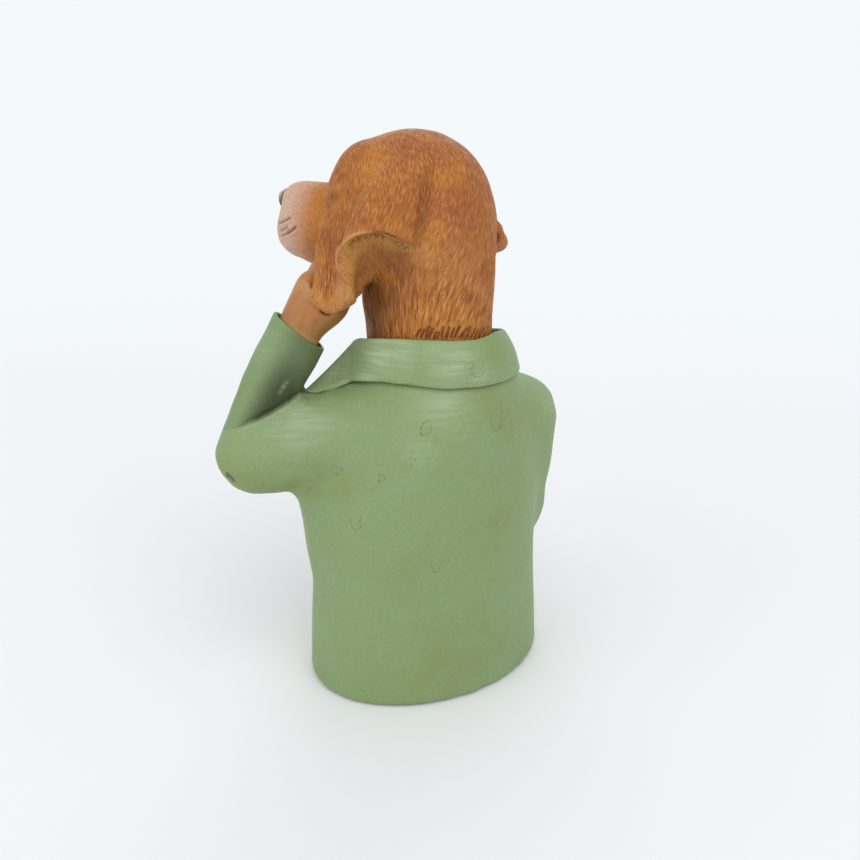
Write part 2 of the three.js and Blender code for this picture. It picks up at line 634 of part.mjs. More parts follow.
const headForm = blend(
  HEAD_BLEND,
  ball(skullCentre, SKULL_HALF_WIDTH, SKULL_HALF_LENGTH, SKULL_HALF_HEIGHT),
  between(neckForm, STAND_HEIGHT - 3 * HEAD_CELL, HEAD_TOP),
  limb(muzzleRoot, muzzleTip, MUZZLE_ROOT_RADIUS, MUZZLE_RADIUS),
  ball(bridge, BRIDGE_RADIUS),
  ...mirrored(flew, FLEW_HALF_WIDTH, FLEW_HALF_LENGTH, FLEW_HALF_HEIGHT),
  limb(JAW_ROOT, jawTip, JAW_ROOT_RADIUS, JAW_TIP_RADIUS),
  ...mirrored(BROW, BROW_HALF_WIDTH, BROW_HALF_LENGTH, BROW_HALF_HEIGHT),
  ...mirrored(CHEEK, CHEEK_RADIUS, CHEEK_RADIUS, CHEEK_HALF_HEIGHT),
);
const headLow = vec(-SKULL_HALF_WIDTH, -MUZZLE_REACH, STAND_HEIGHT - HEAD_ROOM).subScalar(HEAD_ROOM);
const headHigh = vec(SKULL_HALF_WIDTH, NECK_RADIUS, HEAD_TOP).addScalar(HEAD_ROOM);
const sculptHead = (gap) => sculpt(grown(headForm, gap), headLow, headHigh, HEAD_CELL);
const backward = vec(0, 1, 0);
const eyeCentre = (side) => past(
  meet(headForm, vec(side * EYE_SPREAD, -wide, EYE_HEIGHT), backward, wide),
  backward,
  EYE_DEPTH,
);
const eyeball = (side, gap) => {
  const { x, y, z } = eyeCentre(side);
  return solid(new THREE.SphereGeometry(EYE_RADIUS + gap, 14, 9).translate(x, y, z));
};

// The line of the closed mouth, round the muzzle from cheek to cheek
function mouthLine() {
  const count = 13;
  const reach = degToRad(MOUTH_REACH);
  const middle = vec(0, MOUTH_SETBACK - MUZZLE_REACH, MOUTH_HEIGHT);
  const points = Array.from({ length: count }, (_, n) => {
    const angle = reach * ((2 * n) / (count - 1) - 1);
    const sag = MOUTH_SAG * cos(angle * 3);
    const out = vec(sin(angle), -cos(angle), 0);
    const start = past(middle, out, MUZZLE_REACH).add(vec(0, 0, sag));
    return meet(headForm, start, out.negate(), MUZZLE_REACH);
  });
  return groove(points, MOUTH_LINE_RADIUS);
}

const neckFoot = STAND_HEIGHT + GLUE_GAP;
const spigotFoot = STAND_HEIGHT - SPIGOT_LENGTH + GLUE_GAP;
const toHead = new THREE.Matrix4().makeRotationZ(degToRad(HEAD_TURN))
  .setPosition(NECK_X, NECK_Y, 0);
const headBody = sculptHead(0)
  .subtract(block(vec(0, 0, neckFoot), down, wide, wide))
  .add(bar(vec(0, 0, spigotFoot), up, SPIGOT_LENGTH + 4, SPIGOT_RADIUS))
  .subtract(pin(vec(0, 0, neckSocketFloor.z), up, NECK_PIN_LENGTH, GLUE_GAP))
  .subtract(mouthLine())
  .subtract(eyeball(1, GLUE_GAP))
  .subtract(eyeball(-1, GLUE_GAP));
const headRoom = sculptHead(GLUE_GAP);
const inBodyFrame = (body) => body.transform(toHead.elements);
const collarBody = loft(collarRings)
  .subtract(bodyRoom)
  .subtract(sculptArm(SEAT_GAP))
  .subtract(inBodyFrame(headRoom));

const noseTip = vec(0, NOSE_SETBACK - MUZZLE_REACH, NOSE_HEIGHT);
const noseForm = blend(
  NOSE_BLEND,
  ball(noseTip, NOSE_HALF_WIDTH, NOSE_HALF_LENGTH, NOSE_HALF_HEIGHT),
  ball(past(noseTip, vec(0, 1, -NOSE_STEM_DROP), 1), NOSE_STEM_RADIUS),
);
const noseLow = noseTip.clone().subScalar(2 * NOSE_HALF_WIDTH);
const noseHigh = noseTip.clone().addScalar(2 * NOSE_HALF_WIDTH);
const noseBody = sculpt(noseForm, noseLow, noseHigh, NOSE_CELL).subtract(headRoom);

// Ears: flaps that hang from a line on the skull to a free rim
function earFlap({ root, rim, bulge }, gap) {
  const rootLine = new THREE.CatmullRomCurve3(root);
  const rimLine = new THREE.CatmullRomCurve3(rim);
  const sheet = (u, v) => rootLine.getPoint(u).lerp(rimLine.getPoint(u), v)
    .addScaledVector(bulge, sin(PI * v));
  const normal = (u, v) => {
    const h = 0.01;
    const across = sheet(min(1, u + h), v).sub(sheet(max(0, u - h), v));
    const along = sheet(u, v + h).sub(sheet(u, v - h));
    return along.cross(across).normalize();
  };
  const half = (v) => (EAR_THICKNESS / 2) * (1 - EAR_EDGE_THINNING * v * v) + gap;
  const rings = Array.from({ length: EAR_STEPS_ACROSS + 1 }, (_, i) => {
    const u = i / EAR_STEPS_ACROSS;
    const span = rootLine.getPoint(u).distanceTo(rimLine.getPoint(u));
    const levels = Array.from({ length: EAR_STEPS_DOWN + 1 }, (__, j) =>
      (j / EAR_STEPS_DOWN) * (1 + gap / span));
    const outer = levels.map((v) => past(sheet(u, v), normal(u, v), half(v)));
    const inner = levels.map((v) => past(sheet(u, v), normal(u, v), -half(v)));
    return [...outer, ...inner.reverse()];
  });
  return loft(rings);
}

// The left ear is lifted by the paw, so its rear edge stands away from the neck like a bell
const leftEar = {
  root: [
    headPoint(10, 9, 14),
    headPoint(12, 1, 7),
    headPoint(12, -11, 5),
    headPoint(12, -23, 9),
    headPoint(14, -29, 21),
  ],
  rim: [
    headPoint(24, 10, 47),
    headPoint(40, -1, 37),
    headPoint(45, -11, 41),
    headPoint(44.5, -17, 50),
    headPoint(39, -16, 66),
    headPoint(41.5, -26, 71.5),
    headPoint(42.5, -33.5, 65),
    headPoint(30, -37, 50),
  ],
  bulge: vec(6, 0, 2),
};
const rightEar = {
  root: [
    headPoint(-14, -29, 21),
    headPoint(-12, -23, 9),
    headPoint(-12, -11, 5),
    headPoint(-12, 1, 7),
    headPoint(-10, 9, 14),
  ],
  rim: [
    headPoint(-28, -34, 47),
    headPoint(-34, -27, 60),
    headPoint(-37, -14, 64),
    headPoint(-38, 0, 58),
    headPoint(-36.5, 9, 54),
    headPoint(-35.5, 16, 48),
    headPoint(-22, 10, 38),
  ],
  bulge: vec(-4, 0, 2),
};
const earBody = (ear) => earFlap(ear, 0).subtract(headRoom);

// A paw: wrist, palm and toes side by side
function pawForm(wrist, bend, palm, toeAxis, spread) {
  const toes = Array.from({ length: TOE_COUNT }, (_, n) => {
    const offset = (n - (TOE_COUNT - 1) / 2) * TOE_PITCH;
    const knuckle = past(past(palm, spread, offset), toeAxis, PAW_RADIUS / 2);
    const outer = abs(offset) / TOE_PITCH;
    const tip = past(past(knuckle, toeAxis, TOE_LENGTH - outer * outer), spread, offset / 5);
    return limb(knuckle, tip, TOE_RADIUS, TOE_RADIUS);
  });
  return blend(
    PAW_BLEND,
    limb(wrist, bend, WRIST_RADIUS, WRIST_RADIUS),
    limb(bend, palm, WRIST_RADIUS, PAW_RADIUS),
    ...toes,
  );
}
function pawBody(cuff, axis, palm, toeAxis, spread) {
  const seat = past(wristSeat(cuff, axis), axis, GLUE_GAP);
  const wrist = past(seat, axis, -WRIST_RADIUS / 2);
  const bend = past(cuff, axis, PAW_BLEND);
  const form = pawForm(wrist, bend, palm, toeAxis.normalize(), spread);
  const room = PAW_RADIUS + TOE_LENGTH + 4 * TOE_RADIUS;
  const low = seat.clone().min(palm).subScalar(room);
  const high = seat.clone().max(palm).addScalar(room);
  return sculpt(form, low, high, PAW_CELL)
    .subtract(block(seat, axis.clone().negate(), wide, wide))
    .add(bar(past(seat, axis, 3), axis.clone().negate(), WRIST_SPIGOT_LENGTH + 3, WRIST_SPIGOT_RADIUS));
}
const acrossHead = vec(sin(degToRad(HEAD_TURN)), -cos(degToRad(HEAD_TURN)), 0);
const leftPawBody = pawBody(LEFT_CUFF, leftForearmAxis, LEFT_PALM, LEFT_TOE_AXIS, acrossHead)
  .subtract(inBodyFrame(headRoom))
  .subtract(inBodyFrame(earFlap(leftEar, SEAT_GAP)));
const rightPawBody = pawBody(RIGHT_CUFF, rightForearmAxis, RIGHT_PALM, RIGHT_TOE_AXIS, up)
  .subtract(bodyRoom.subtract(cuffMouth(RIGHT_CUFF, rightForearmAxis)));

// The figurine, piece by piece
const figurine = new THREE.Group();
figurine.add(
  piece('jacket', jacketBody, jacketGreen),
  piece('left_forearm_sleeve', forearmBody, jacketGreen),
  piece('collar', collarBody, jacketGreen),
  piece('left_paw', leftPawBody, pawOchre),
  piece('right_paw', rightPawBody, pawOchre),
  piece('base_plate', plateOval(0, FELT_THICKNESS, plateTop), resinPale),
  piece('felt_pad', plateOval(0, 0, FELT_THICKNESS), feltGreen),
  piece('neck_pin', neckPin(0), pinSteel),
  piece('elbow_pin', elbowPin(0), pinSteel),
);
for (const [place, level] of Object.entries(BUTTON_LEVELS)) {
  figurine.add(piece(`${place}_button`, button(level), buttonBrown));
}

const head = new THREE.Group();
head.applyMatrix4(toHead);
head.add(
  piece('head', headBody, furRusset),
  piece('left_ear', earBody(leftEar), furRusset),
  piece('right_ear', earBody(rightEar), furRusset),
  piece('nose', noseBody, noseDark),
  piece('left_eye', eyeball(1, 0), eyeDark),
  piece('right_eye', eyeball(-1, 0), eyeDark),
);
figurine.add(head);

export default figurine;
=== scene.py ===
"""Looks of a listening dog figurine in painted resin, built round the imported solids."""

import logging
import math
from collections.abc import Callable, Sequence
from dataclasses import dataclass, field
from enum import Enum

import bmesh
import bpy
import numpy as np
from mathutils import Euler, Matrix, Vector
from mathutils.bvhtree import BVHTree
from mathutils.kdtree import KDTree


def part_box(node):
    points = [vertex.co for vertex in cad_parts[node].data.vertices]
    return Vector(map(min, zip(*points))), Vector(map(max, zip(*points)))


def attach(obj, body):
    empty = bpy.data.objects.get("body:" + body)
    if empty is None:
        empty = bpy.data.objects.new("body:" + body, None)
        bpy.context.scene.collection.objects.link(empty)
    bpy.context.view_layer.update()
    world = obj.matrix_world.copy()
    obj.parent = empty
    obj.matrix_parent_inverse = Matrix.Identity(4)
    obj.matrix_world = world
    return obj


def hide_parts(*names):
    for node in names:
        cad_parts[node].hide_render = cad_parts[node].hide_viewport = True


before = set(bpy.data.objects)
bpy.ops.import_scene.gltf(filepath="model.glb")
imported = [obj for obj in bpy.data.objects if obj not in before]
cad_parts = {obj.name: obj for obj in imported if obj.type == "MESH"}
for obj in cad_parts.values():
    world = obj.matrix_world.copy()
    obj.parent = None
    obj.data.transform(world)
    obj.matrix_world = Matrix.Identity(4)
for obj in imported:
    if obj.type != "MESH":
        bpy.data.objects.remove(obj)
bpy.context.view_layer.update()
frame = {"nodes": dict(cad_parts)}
LOG = logging.getLogger("figurine")
BODY = "root"
MM = 0.001
MOST_FACES = 188_000
SEED = 11
NECK = (-6.5, -3.7)
HEAD_TURN = 30.0
EYE_RADIUS = 5.4
LEFT_SWELLS = ((301, 284, 9, 1.5), (309, 274, 7, 1.2))
RIGHT_TOES = (((14, 58.5), (28, 57.5)), ((13, 64.5), (28.2, 64)), ((14, 70.5), (28, 71)))

Array = np.ndarray
Material = bpy.types.Material
Pixel = tuple[float, float]
Pixels = tuple[Pixel, ...]
Spot = tuple[float, float, float]
Tint = tuple[float, float, float, float]
# Pixel, radius in millimetres, and height or strength.
Patch = tuple[float, float, float, float]
Patches = tuple[Patch, ...]
# Pixel, and direction in the picture to the right and down.
Lead = tuple[float, float, float, float]
# Pixel, half width in millimetres, and whether it is closed.
Loop = tuple[float, float, float, bool]
# Middle, direction to the right, direction down, half width, and whether it is closed.
Mark = tuple[Array, Array, Array, float, bool]


class Slot(Enum):
    """Names of the finishes."""

    JACKET = "jacket_paint"
    FUR = "fur_paint"
    PAW = "paw_paint"
    NOSE = "nose_paint"
    EYE = "eye_gloss"
    BUTTON = "button_paint"
    RESIN = "bare_resin"
    FELT = "felt"
    STEEL = "pin_steel"


def tint(red: float, green: float, blue: float) -> Tint:
    """A paint colour as the eye reads it, 0 to 255, in the shader's linear numbers.

    Args:
        red: Red share.
        green: Green share.
        blue: Blue share.

    Returns:
        The colour with full cover.
    """
    shares = [share / 255 for share in (red, green, blue)]
    linear = [s / 12.92 if s <= 0.04045 else ((s + 0.055) / 1.055) ** 2.4 for s in shares]
    return (linear[0], linear[1], linear[2], 1.0)


def unit(vectors: Array) -> Array:
    """Vectors of length one."""
    return vectors / np.maximum(np.linalg.norm(vectors, axis=-1, keepdims=True), 1e-9)


def smooth(values: Array | float, low: float, high: float) -> Array:
    """A soft step from 0 at low to 1 at high."""
    share = np.clip((values - low) / (high - low), 0, 1)
    return share * share * (3 - 2 * share)


def bell(values: Array, width: float) -> Array:
    """A soft bump, 1 at 0 and about a third at the width."""
    return np.exp(-((values / width) ** 2))


def ahead_of(turn: float) -> Array:
    """The level direction in which a head with this turn looks."""
    return np.array((math.sin(math.radians(turn)), -math.cos(math.radians(turn)), 0.0))


def metres(point: Array) -> Spot:
    """A place in metres, as plain numbers."""
    x, y, z = (float(value) * MM for value in point)
    return (x, y, z)


def curve_through(spots: Sequence[Spot], steps: int) -> Array:
    """Points along a soft curve through given spots.

    Args:
        spots: Places that the curve passes.
        steps: Number of points between two places.

    Returns:
        The points, one row each.
    """
    knots = np.asarray(spots, float)
    padded = np.vstack([2 * knots[0] - knots[1], knots, 2 * knots[-1] - knots[-2]])
    share = np.linspace(0, 1, steps, endpoint=False)[:, None]
    runs = []
    for a, b, c, d in zip(padded, padded[1:], padded[2:], padded[3:]):
        runs.append(0.5 * (2 * b + (c - a) * share + (2 * a - 5 * b + 4 * c - d) * share**2
                           + (3 * b - a - 3 * c + d) * share**3))
    return np.vstack([*runs, knots[-1:]])


def pixels_through(pixels: Sequence[Pixel], steps: int) -> Array:
    """Pixels along a soft curve through given pixels."""
    return curve_through([(x, y, 0.0) for x, y in pixels], steps)[:, :2]


def bands(rings: int, sides: int, flip: bool = False, closed: bool = False) -> list[list[int]]:
    """Faces between rings of points.

    Args:
        rings: Number of rings.
        sides: Points of each ring.
        flip: Whether the faces look the other way.
        closed: Whether the last ring joins the first.

    Returns:
        The point numbers of each face.
    """
    faces = []
    for a in range(rings if closed else rings - 1):
        b = (a + 1) % rings
        for n in range(sides):
            m = (n + 1) % sides
            near, far = (m, n) if flip else (n, m)
            faces.append([a * sides + near, a * sides + far, b * sides + far, b * sides + near])
    return faces


class Sock:
    """A shader socket that takes part in Python sums."""

    def __init__(self, paint: "Paint", socket: bpy.types.NodeSocket) -> None:
        """Keeps the socket and the paint that it belongs to."""
        self.paint = paint
        self.socket = socket

    def _math(self, operation: str, *parts: "Sock | float") -> "Sock":
        """A Math node on these parts."""
        return self.paint.node("ShaderNodeMath", {"operation": operation}, dict(enumerate(parts)))

    def __add__(self, other: "Sock | float") -> "Sock":
        """Sum."""
        return self._math("ADD", self, other)

    __radd__ = __add__

    def __sub__(self, other: "Sock | float") -> "Sock":
        """Difference."""
        return self._math("SUBTRACT", self, other)

    def __rsub__(self, other: float) -> "Sock":
        """Difference from a number."""
        return self._math("SUBTRACT", other, self)

    def __mul__(self, other: "Sock | float") -> "Sock":
        """Product."""
        return self._math("MULTIPLY", self, other)

    __rmul__ = __mul__

    def __truediv__(self, other: "Sock | float") -> "Sock":
        """Quotient."""
        return self._math("DIVIDE", self, other)

    def __abs__(self) -> "Sock":
        """Size without sign."""
        return self._math("ABSOLUTE", self)

    def __lt__(self, other: "Sock | float") -> "Sock":
        """1 where this is below the other, else 0."""
        return self._math("LESS_THAN", self, other)

    def root(self) -> "Sock":
        """Square root."""
        return self._math("SQRT", self)

    def most(self, other: "Sock | float") -> "Sock":
        """The larger of the two."""
        return self._math("MAXIMUM", self, other)

    def step(self, low: float, high: float) -> "Sock":
        """A soft step from 0 at low to 1 at high.

        Args:
            low: Where it is 0.
            high: Where it is 1, above or below low.

        Returns:
            The step's value.
        """
        settings = {"interpolation_type": "SMOOTHSTEP"}
        inputs = {"Value": self, "From Min": low, "From Max": high, "To Min": 0.0, "To Max": 1.0}
        if low > high:
            inputs.update({"From Min": high, "From Max": low, "To Min": 1.0, "To Max": 0.0})
        return self.paint.node("ShaderNodeMapRange", settings, inputs)


class Paint:
    """A node material, or the light from all round, while it is being mixed."""

    def __init__(self, name: str, world: bool = False) -> None:
        """Starts an empty material.

        Args:
            name: Name of the material.
            world: Whether it is the light from all round.
        """
        self.material = (bpy.data.worlds if world else bpy.data.materials).new(name)
        self.material.use_nodes = True
        self.kind = "World" if world else "Material"
        self.tree = self.material.node_tree
        self.tree.nodes.clear()

    def node(self, kind: str, settings: dict | None = None, inputs: dict | None = None,
             output: int | str = 0) -> Sock:
        """Adds a node.

        Args:
            kind: Type name of the node.
            settings: Properties, set before the sockets.
            inputs: Numbers, colours or sockets by socket name or place.
            output: Name or place of the wanted output.

        Returns:
            The wanted output.
        """
        node = self.tree.nodes.new(kind)
        for name, value in (settings or {}).items():
            setattr(node, name, value)
        for name, value in (inputs or {}).items():
            if isinstance(value, Sock):
                self.tree.links.new(value.socket, node.inputs[name])
            else:
                node.inputs[name].default_value = value
        return Sock(self, node.outputs[output])

    def blend(self, share: Sock | float, first: Sock | Tint, second: Sock | Tint) -> Sock:
        """Mixes two colours, with share 0 for the first and 1 for the second."""
        settings = {"data_type": "RGBA", "clamp_factor": True}
        return self.node("ShaderNodeMix", settings, {0: share, 6: first, 7: second}, 2)

    def place(self) -> Sock:
        """The point's place in the part's frame."""
        return self.node("ShaderNodeTexCoord", output="Object")

    def stretched(self, sizes: Spot, turn: Spot = (0, 0, 0)) -> Sock:
        """The point's place, turned and then scaled.

        Args:
            sizes: Factors along the three axes.
            turn: Angles in degrees.

        Returns:
            The new place.
        """
        angles = tuple(math.radians(angle) for angle in turn)
        turned = self.node("ShaderNodeMapping", None, {"Vector": self.place(), "Rotation": angles})
        return self.node("ShaderNodeVectorMath", {"operation": "MULTIPLY"}, {0: turned, 1: sizes})

    def noise(self, scale: float, detail: float = 2.0, place: Sock | None = None) -> Sock:
        """Random values round 0.5: spots for each metre, finer layers, and where to read it."""
        inputs = {"Vector": place or self.place(), "Scale": scale, "Detail": detail}
        return self.node("ShaderNodeTexNoise", None, inputs, 0)

    def note(self, name: str) -> Sock:
        """A value kept on the mesh's points."""
        return self.node("ShaderNodeAttribute", {"attribute_name": name}, output="Fac")

    def looked_at(self) -> Sock:
        """1 where the camera looks, also in a mirror or through glass, else 0."""
        camera, glossy, clear = (self.node("ShaderNodeLightPath", output=f"Is {kind} Ray")
                                 for kind in ("Camera", "Glossy", "Transmission"))
        return camera.most(glossy).most(clear)

    def finish(self, colour: Sock, roughness: Sock, height: Sock, relief: float,
               **fixed: float) -> Material:
        """Closes the material with one shader.

        Args:
            colour: Base colour.
            roughness: Roughness.
            height: Fine height for the bump, 0 to 1.
            relief: Height of 1 in millimetres.
            **fixed: Other sockets of the shader, with blanks as underscores.

        Returns:
            The finished material.
        """
        fine = {"Strength": 1.0, "Distance": relief * MM, "Height": height}
        bump = self.node("ShaderNodeBump", None, fine)
        inputs = {"Base Color": colour, "Roughness": roughness, "Normal": bump}
        inputs.update({name.replace("_", " "): value for name, value in fixed.items()})
        shader = self.node("ShaderNodeBsdfPrincipled", None, inputs)
        self.node_output(shader)
        return self.material

    def node_output(self, shader: Sock) -> None:
        """Links a shader to the output."""
        out = self.tree.nodes.new(f"ShaderNodeOutput{self.kind}")
        self.tree.links.new(shader.socket, out.inputs["Surface"])


@dataclass
class Skin:
    """A dense closed surface that is being modelled, in millimetres."""

    points: Array
    faces: Array
    notes: dict[str, Array] = field(default_factory=dict)

    @classmethod
    def cast(cls, solids: "Sequence[Solid]", grain: float) -> "Skin":
        """Fuses solids to one even skin.

        Args:
            solids: Closed solids that touch or overlap.
            grain: Size of the new faces.

        Returns:
            The outer skin.
        """
        blank = new_object("blank", *joined(solids))
        clay = blank.modifiers.new("clay", "REMESH")
        clay.mode = "VOXEL"
        clay.voxel_size = grain * MM
        return cls.taken_from(blank).outer()

    @classmethod
    def taken_from(cls, blank: bpy.types.Object, notes: Sequence[str] = ()) -> "Skin":
        """Reads the finished mesh of an object and removes the object.

        Args:
            blank: The object, with its modifiers.
            notes: Names of the values to read from its points.

        Returns:
            The skin.
        """
        mesh = blank.evaluated_get(bpy.context.evaluated_depsgraph_get()).data
        points = np.empty(3 * len(mesh.vertices))
        mesh.vertices.foreach_get("co", points)
        loops = np.empty(len(mesh.loops), np.int32)
        mesh.loops.foreach_get("vertex_index", loops)
        skin = cls(points.reshape(-1, 3) / MM, loops.reshape(-1, 4).astype(np.int64))
        for name in notes:
            values = np.empty(len(skin.points), np.float32)
            mesh.attributes[name].data.foreach_get("value", values)
            skin.notes[name] = values
        bpy.data.objects.remove(blank)
        return skin

    def outer(self) -> "Skin":
        """The largest connected part, without what is shut inside.

        Returns:
            A new skin without notes.
        """
        labels = np.arange(len(self.points))
        while True:
            low = labels[self.faces].min(1)
            fresh = labels.copy()
            for corner in range(4):
                np.minimum.at(fresh, self.faces[:, corner], low)
            fresh = fresh[fresh]
            if (fresh == labels).all():
                break
            labels = fresh
        keep = labels == np.bincount(labels).argmax()
        number = np.cumsum(keep) - 1
        faces = self.faces[keep[self.faces[:, 0]]]
        return Skin(self.points[keep], number[faces])

    def edges(self) -> Array:
        """The pairs of points that an edge joins."""
        pairs = np.vstack([self.faces[:, [n, (n + 1) % 4]] for n in range(4)])
        return np.unique(np.sort(pairs, 1), axis=0)

    def evening(self) -> Callable[[Array], Array]:
        """A function that gives the mean place of each point's neighbours.

        Returns:
            The function.
        """
        edges = self.edges()
        both = np.vstack([edges, edges[:, ::-1]])
        both = both[np.argsort(both[:, 0], kind="stable")]
        count = np.bincount(both[:, 0], minlength=len(self.points))
        place = np.arange(len(both)) - (np.cumsum(count) - count)[both[:, 0]]
        table = np.repeat(np.arange(len(self.points))[:, None], count.max(), 1)
        table[both[:, 0], place] = both[:, 1]
        spare = (table.shape[1] - count)[:, None]

        def mean(points: Array) -> Array:
            """Mean of the neighbours, without the points that fill the table up."""
            return (points[table].sum(1) - spare * points) / count[:, None]

        return mean

    def soften(self, passes: int, yielding: Array | float = 1.0,
               pulls: Sequence[float] = (0.5, -0.515)) -> "Skin":
        """Rubs the facets away.

        Args:
            passes: Number of rubs.
            yielding: How much each point gives way, 0 to 1.
            pulls: Moves of one rub towards the neighbours; in and out keeps the volume.

        Returns:
            This skin.
        """
        mean = self.evening()
        give = np.broadcast_to(yielding, len(self.points))[:, None]
        for _ in range(passes):
            for pull in pulls:
                self.points = self.points + pull * give * (mean(self.points) - self.points)
        return self

    def refined(self) -> "Skin":
        """Each face cut into four, on a rounded surface, with the notes kept.

        Returns:
            A new skin.
        """
        blank = new_object("blank", self.points, self.faces.tolist())
        self.keep_notes(blank)
        blank.modifiers.new("finer", "SUBSURF").levels = 1
        return Skin.taken_from(blank, tuple(self.notes))

    def keep_notes(self, piece: bpy.types.Object) -> None:
        """Stores the notes on the points of an object."""
        for name, values in self.notes.items():
            store = piece.data.attributes.new(name, "FLOAT", "POINT")
            store.data.foreach_set("value", np.asarray(values, np.float32))

    def bend(self) -> Array:
        """How hollow the surface is at each point: above 0 in a valley, below 0 on a ridge.

        Returns:
            The depth in millimetres.
        """
        mean = self.evening()
        points = self.points
        for _ in range(6):
            points = mean(points)
        return ((points - self.points) * self.normals()).sum(1)

    def normals(self) -> Array:
        """The outward direction at each point.

        Returns:
            One unit vector for each point.
        """
        a, b, c, d = (self.points[self.faces[:, n]] for n in range(4))
        cross = np.cross(c - a, d - b)
        total = np.zeros_like(self.points)
        for corner in range(4):
            for axis in range(3):
                total[:, axis] += np.bincount(self.faces[:, corner], cross[:, axis], len(self.points))
        return unit(total)

    def push(self, heights: Array) -> "Skin":
        """Moves each point outward by its height."""
        self.points = self.points + self.normals() * heights[:, None]
        return self

    def combed(self, ways: Array, start: Array, side: Array,
               rounds: int = 240) -> Array:
        """Values that grow by one for each millimetre along given directions.

        Args:
            ways: Direction at each point.
            start: Rough values to start from.
            side: Half of the skin that each point belongs to; the halves are combed apart.
            rounds: Steps of the search.

        Returns:
            The value at each point.
        """
        edges = self.edges()
        first, last = edges[side[edges[:, 0]] == side[edges[:, 1]]].T
        count = len(self.points)
        gain = ((ways[first] + ways[last]) / 2 * (self.points[last] - self.points[first])).sum(1)

        def uneven(steps: Array) -> Array:
            """Sum of the steps that reach each point."""
            return np.bincount(last, steps, count) - np.bincount(first, steps, count)

        values = start.astype(float)
        rest = uneven(gain - values[last] + values[first])
        move = rest.copy()
        size = rest @ rest
        for _ in range(rounds):
            bent = uneven(move[last] - move[first])
            pace = size / max(move @ bent, 1e-12)
            values += pace * move
            rest -= pace * bent
            fresh = rest @ rest
            move = rest + fresh / max(size, 1e-12) * move
            size = fresh
        return values

    def hits(self) -> BVHTree:
        """A search tree over the faces."""
        return BVHTree.FromPolygons(self.points.tolist(), self.faces.tolist())

    def near(self, line: Array, reach: float) -> tuple[Array, Array]:
        """Distance of each point from a line.

        Args:
            line: Points along the line, closer together than reach.
            reach: Largest distance of interest.

        Returns:
            The distance, at most reach, and the share of the line's length at the nearest place.
        """
        tree = search_tree(self.points)
        gap = np.full(len(self.points), reach)
        share = np.zeros(len(self.points))
        for n, spot in enumerate(line):
            for _, index, distance in tree.find_range(spot, reach):
                if distance < gap[index]:
                    gap[index] = distance
                    share[index] = n / max(1, len(line) - 1)
        return gap, share

    def spot(self, centre: Spot, radius: float) -> Array:
        """A soft round patch about a place, 1 in its middle."""
        return bell(np.linalg.norm(self.points - np.asarray(centre), axis=1), radius)

    def add_note(self, name: str, values: Array) -> None:
        """Keeps the larger of a note and new values."""
        self.notes[name] = np.maximum(self.notes.get(name, 0.0), values)

    def build(self, name: str, material: Material, slot: Slot, *nodes: str) -> None:
        """Makes the piece.

        Args:
            name: Name of the piece.
            material: Its finish.
            slot: The slot for that finish.
            *nodes: Solids that the piece stands for.
        """
        piece = new_object(name, self.points, self.faces.tolist())
        self.keep_notes(piece)
        self.thin(piece)
        settle(piece, material, slot, *nodes)

    @staticmethod
    def thin(piece: bpy.types.Object) -> None:
        """Joins the flattest faces of a piece that has too many for the library.

        Args:
            piece: The piece, before it gets its finish.
        """
        full, count = piece.data, 2 * len(piece.data.polygons)
        if count > MOST_FACES:
            piece.modifiers.new("thin", "DECIMATE").ratio = MOST_FACES / count
            whole = bpy.context.evaluated_depsgraph_get()
            piece.data = bpy.data.meshes.new_from_object(piece.evaluated_get(whole))
            piece.modifiers.clear()
            bpy.data.meshes.remove(full)


@dataclass(frozen=True)
class Solid:
    """A closed solid as plain points and faces, in millimetres."""

    points: Array
    faces: list[list[int]]

    @classmethod
    def of_node(cls, name: str, floor: float | None = None) -> "Solid":
        """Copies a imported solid.

        Args:
            name: Name of the node.
            floor: Height below which the copy is cut away.

        Returns:
            The copy.
        """
        shape = bmesh.new()
        shape.from_mesh(frame["nodes"][name].data)
        bmesh.ops.remove_doubles(shape, verts=shape.verts, dist=1e-7)
        if floor is not None:
            whole = [*shape.verts, *shape.edges, *shape.faces]
            bmesh.ops.bisect_plane(shape, geom=whole, plane_co=(0, 0, floor * MM), plane_no=(0, 0, 1),
                                   clear_inner=True)
            bmesh.ops.holes_fill(shape, edges=[edge for edge in shape.edges if edge.is_boundary])
        shape.verts.index_update()
        points = np.array([vert.co for vert in shape.verts]) / MM
        faces = [[vert.index for vert in face.verts] for face in shape.faces]
        shape.free()
        return cls(points, faces)

    @classmethod
    def column(cls, foot: Spot, head: Spot, halves: tuple[float, float], sides: int = 40) -> "Solid":
        """An oval bar between two points.

        Args:
            foot: Middle of the first end.
            head: Middle of the other end.
            halves: Half widths across it.
            sides: Number of sides.

        Returns:
            The bar.
        """
        axis = unit(np.subtract(head, foot))
        helper = np.array((1.0, 0.0, 0.0)) if abs(axis[0]) < 0.9 else np.array((0.0, 1.0, 0.0))
        depth = unit(np.cross(axis, helper))
        width = np.cross(depth, axis)
        turn = np.linspace(0, 2 * math.pi, sides, endpoint=False)[:, None]
        oval = halves[0] * np.cos(turn) * width + halves[1] * np.sin(turn) * depth
        points = np.vstack([oval + foot, oval + head])
        ends = [list(range(sides))[::-1], list(range(sides, 2 * sides))]
        return cls(points, bands(2, sides) + ends)


def joined(solids: Sequence[Solid]) -> tuple[Array, list[list[int]]]:
    """Points and faces of several solids in one list each.

    Args:
        solids: The solids, in order.

    Returns:
        All their points, and their faces with the new numbers.
    """
    starts = np.cumsum([0] + [len(solid.points) for solid in solids])
    faces = [[int(n) + int(start) for n in face]
             for solid, start in zip(solids, starts) for face in solid.faces]
    return np.vstack([solid.points for solid in solids]), faces


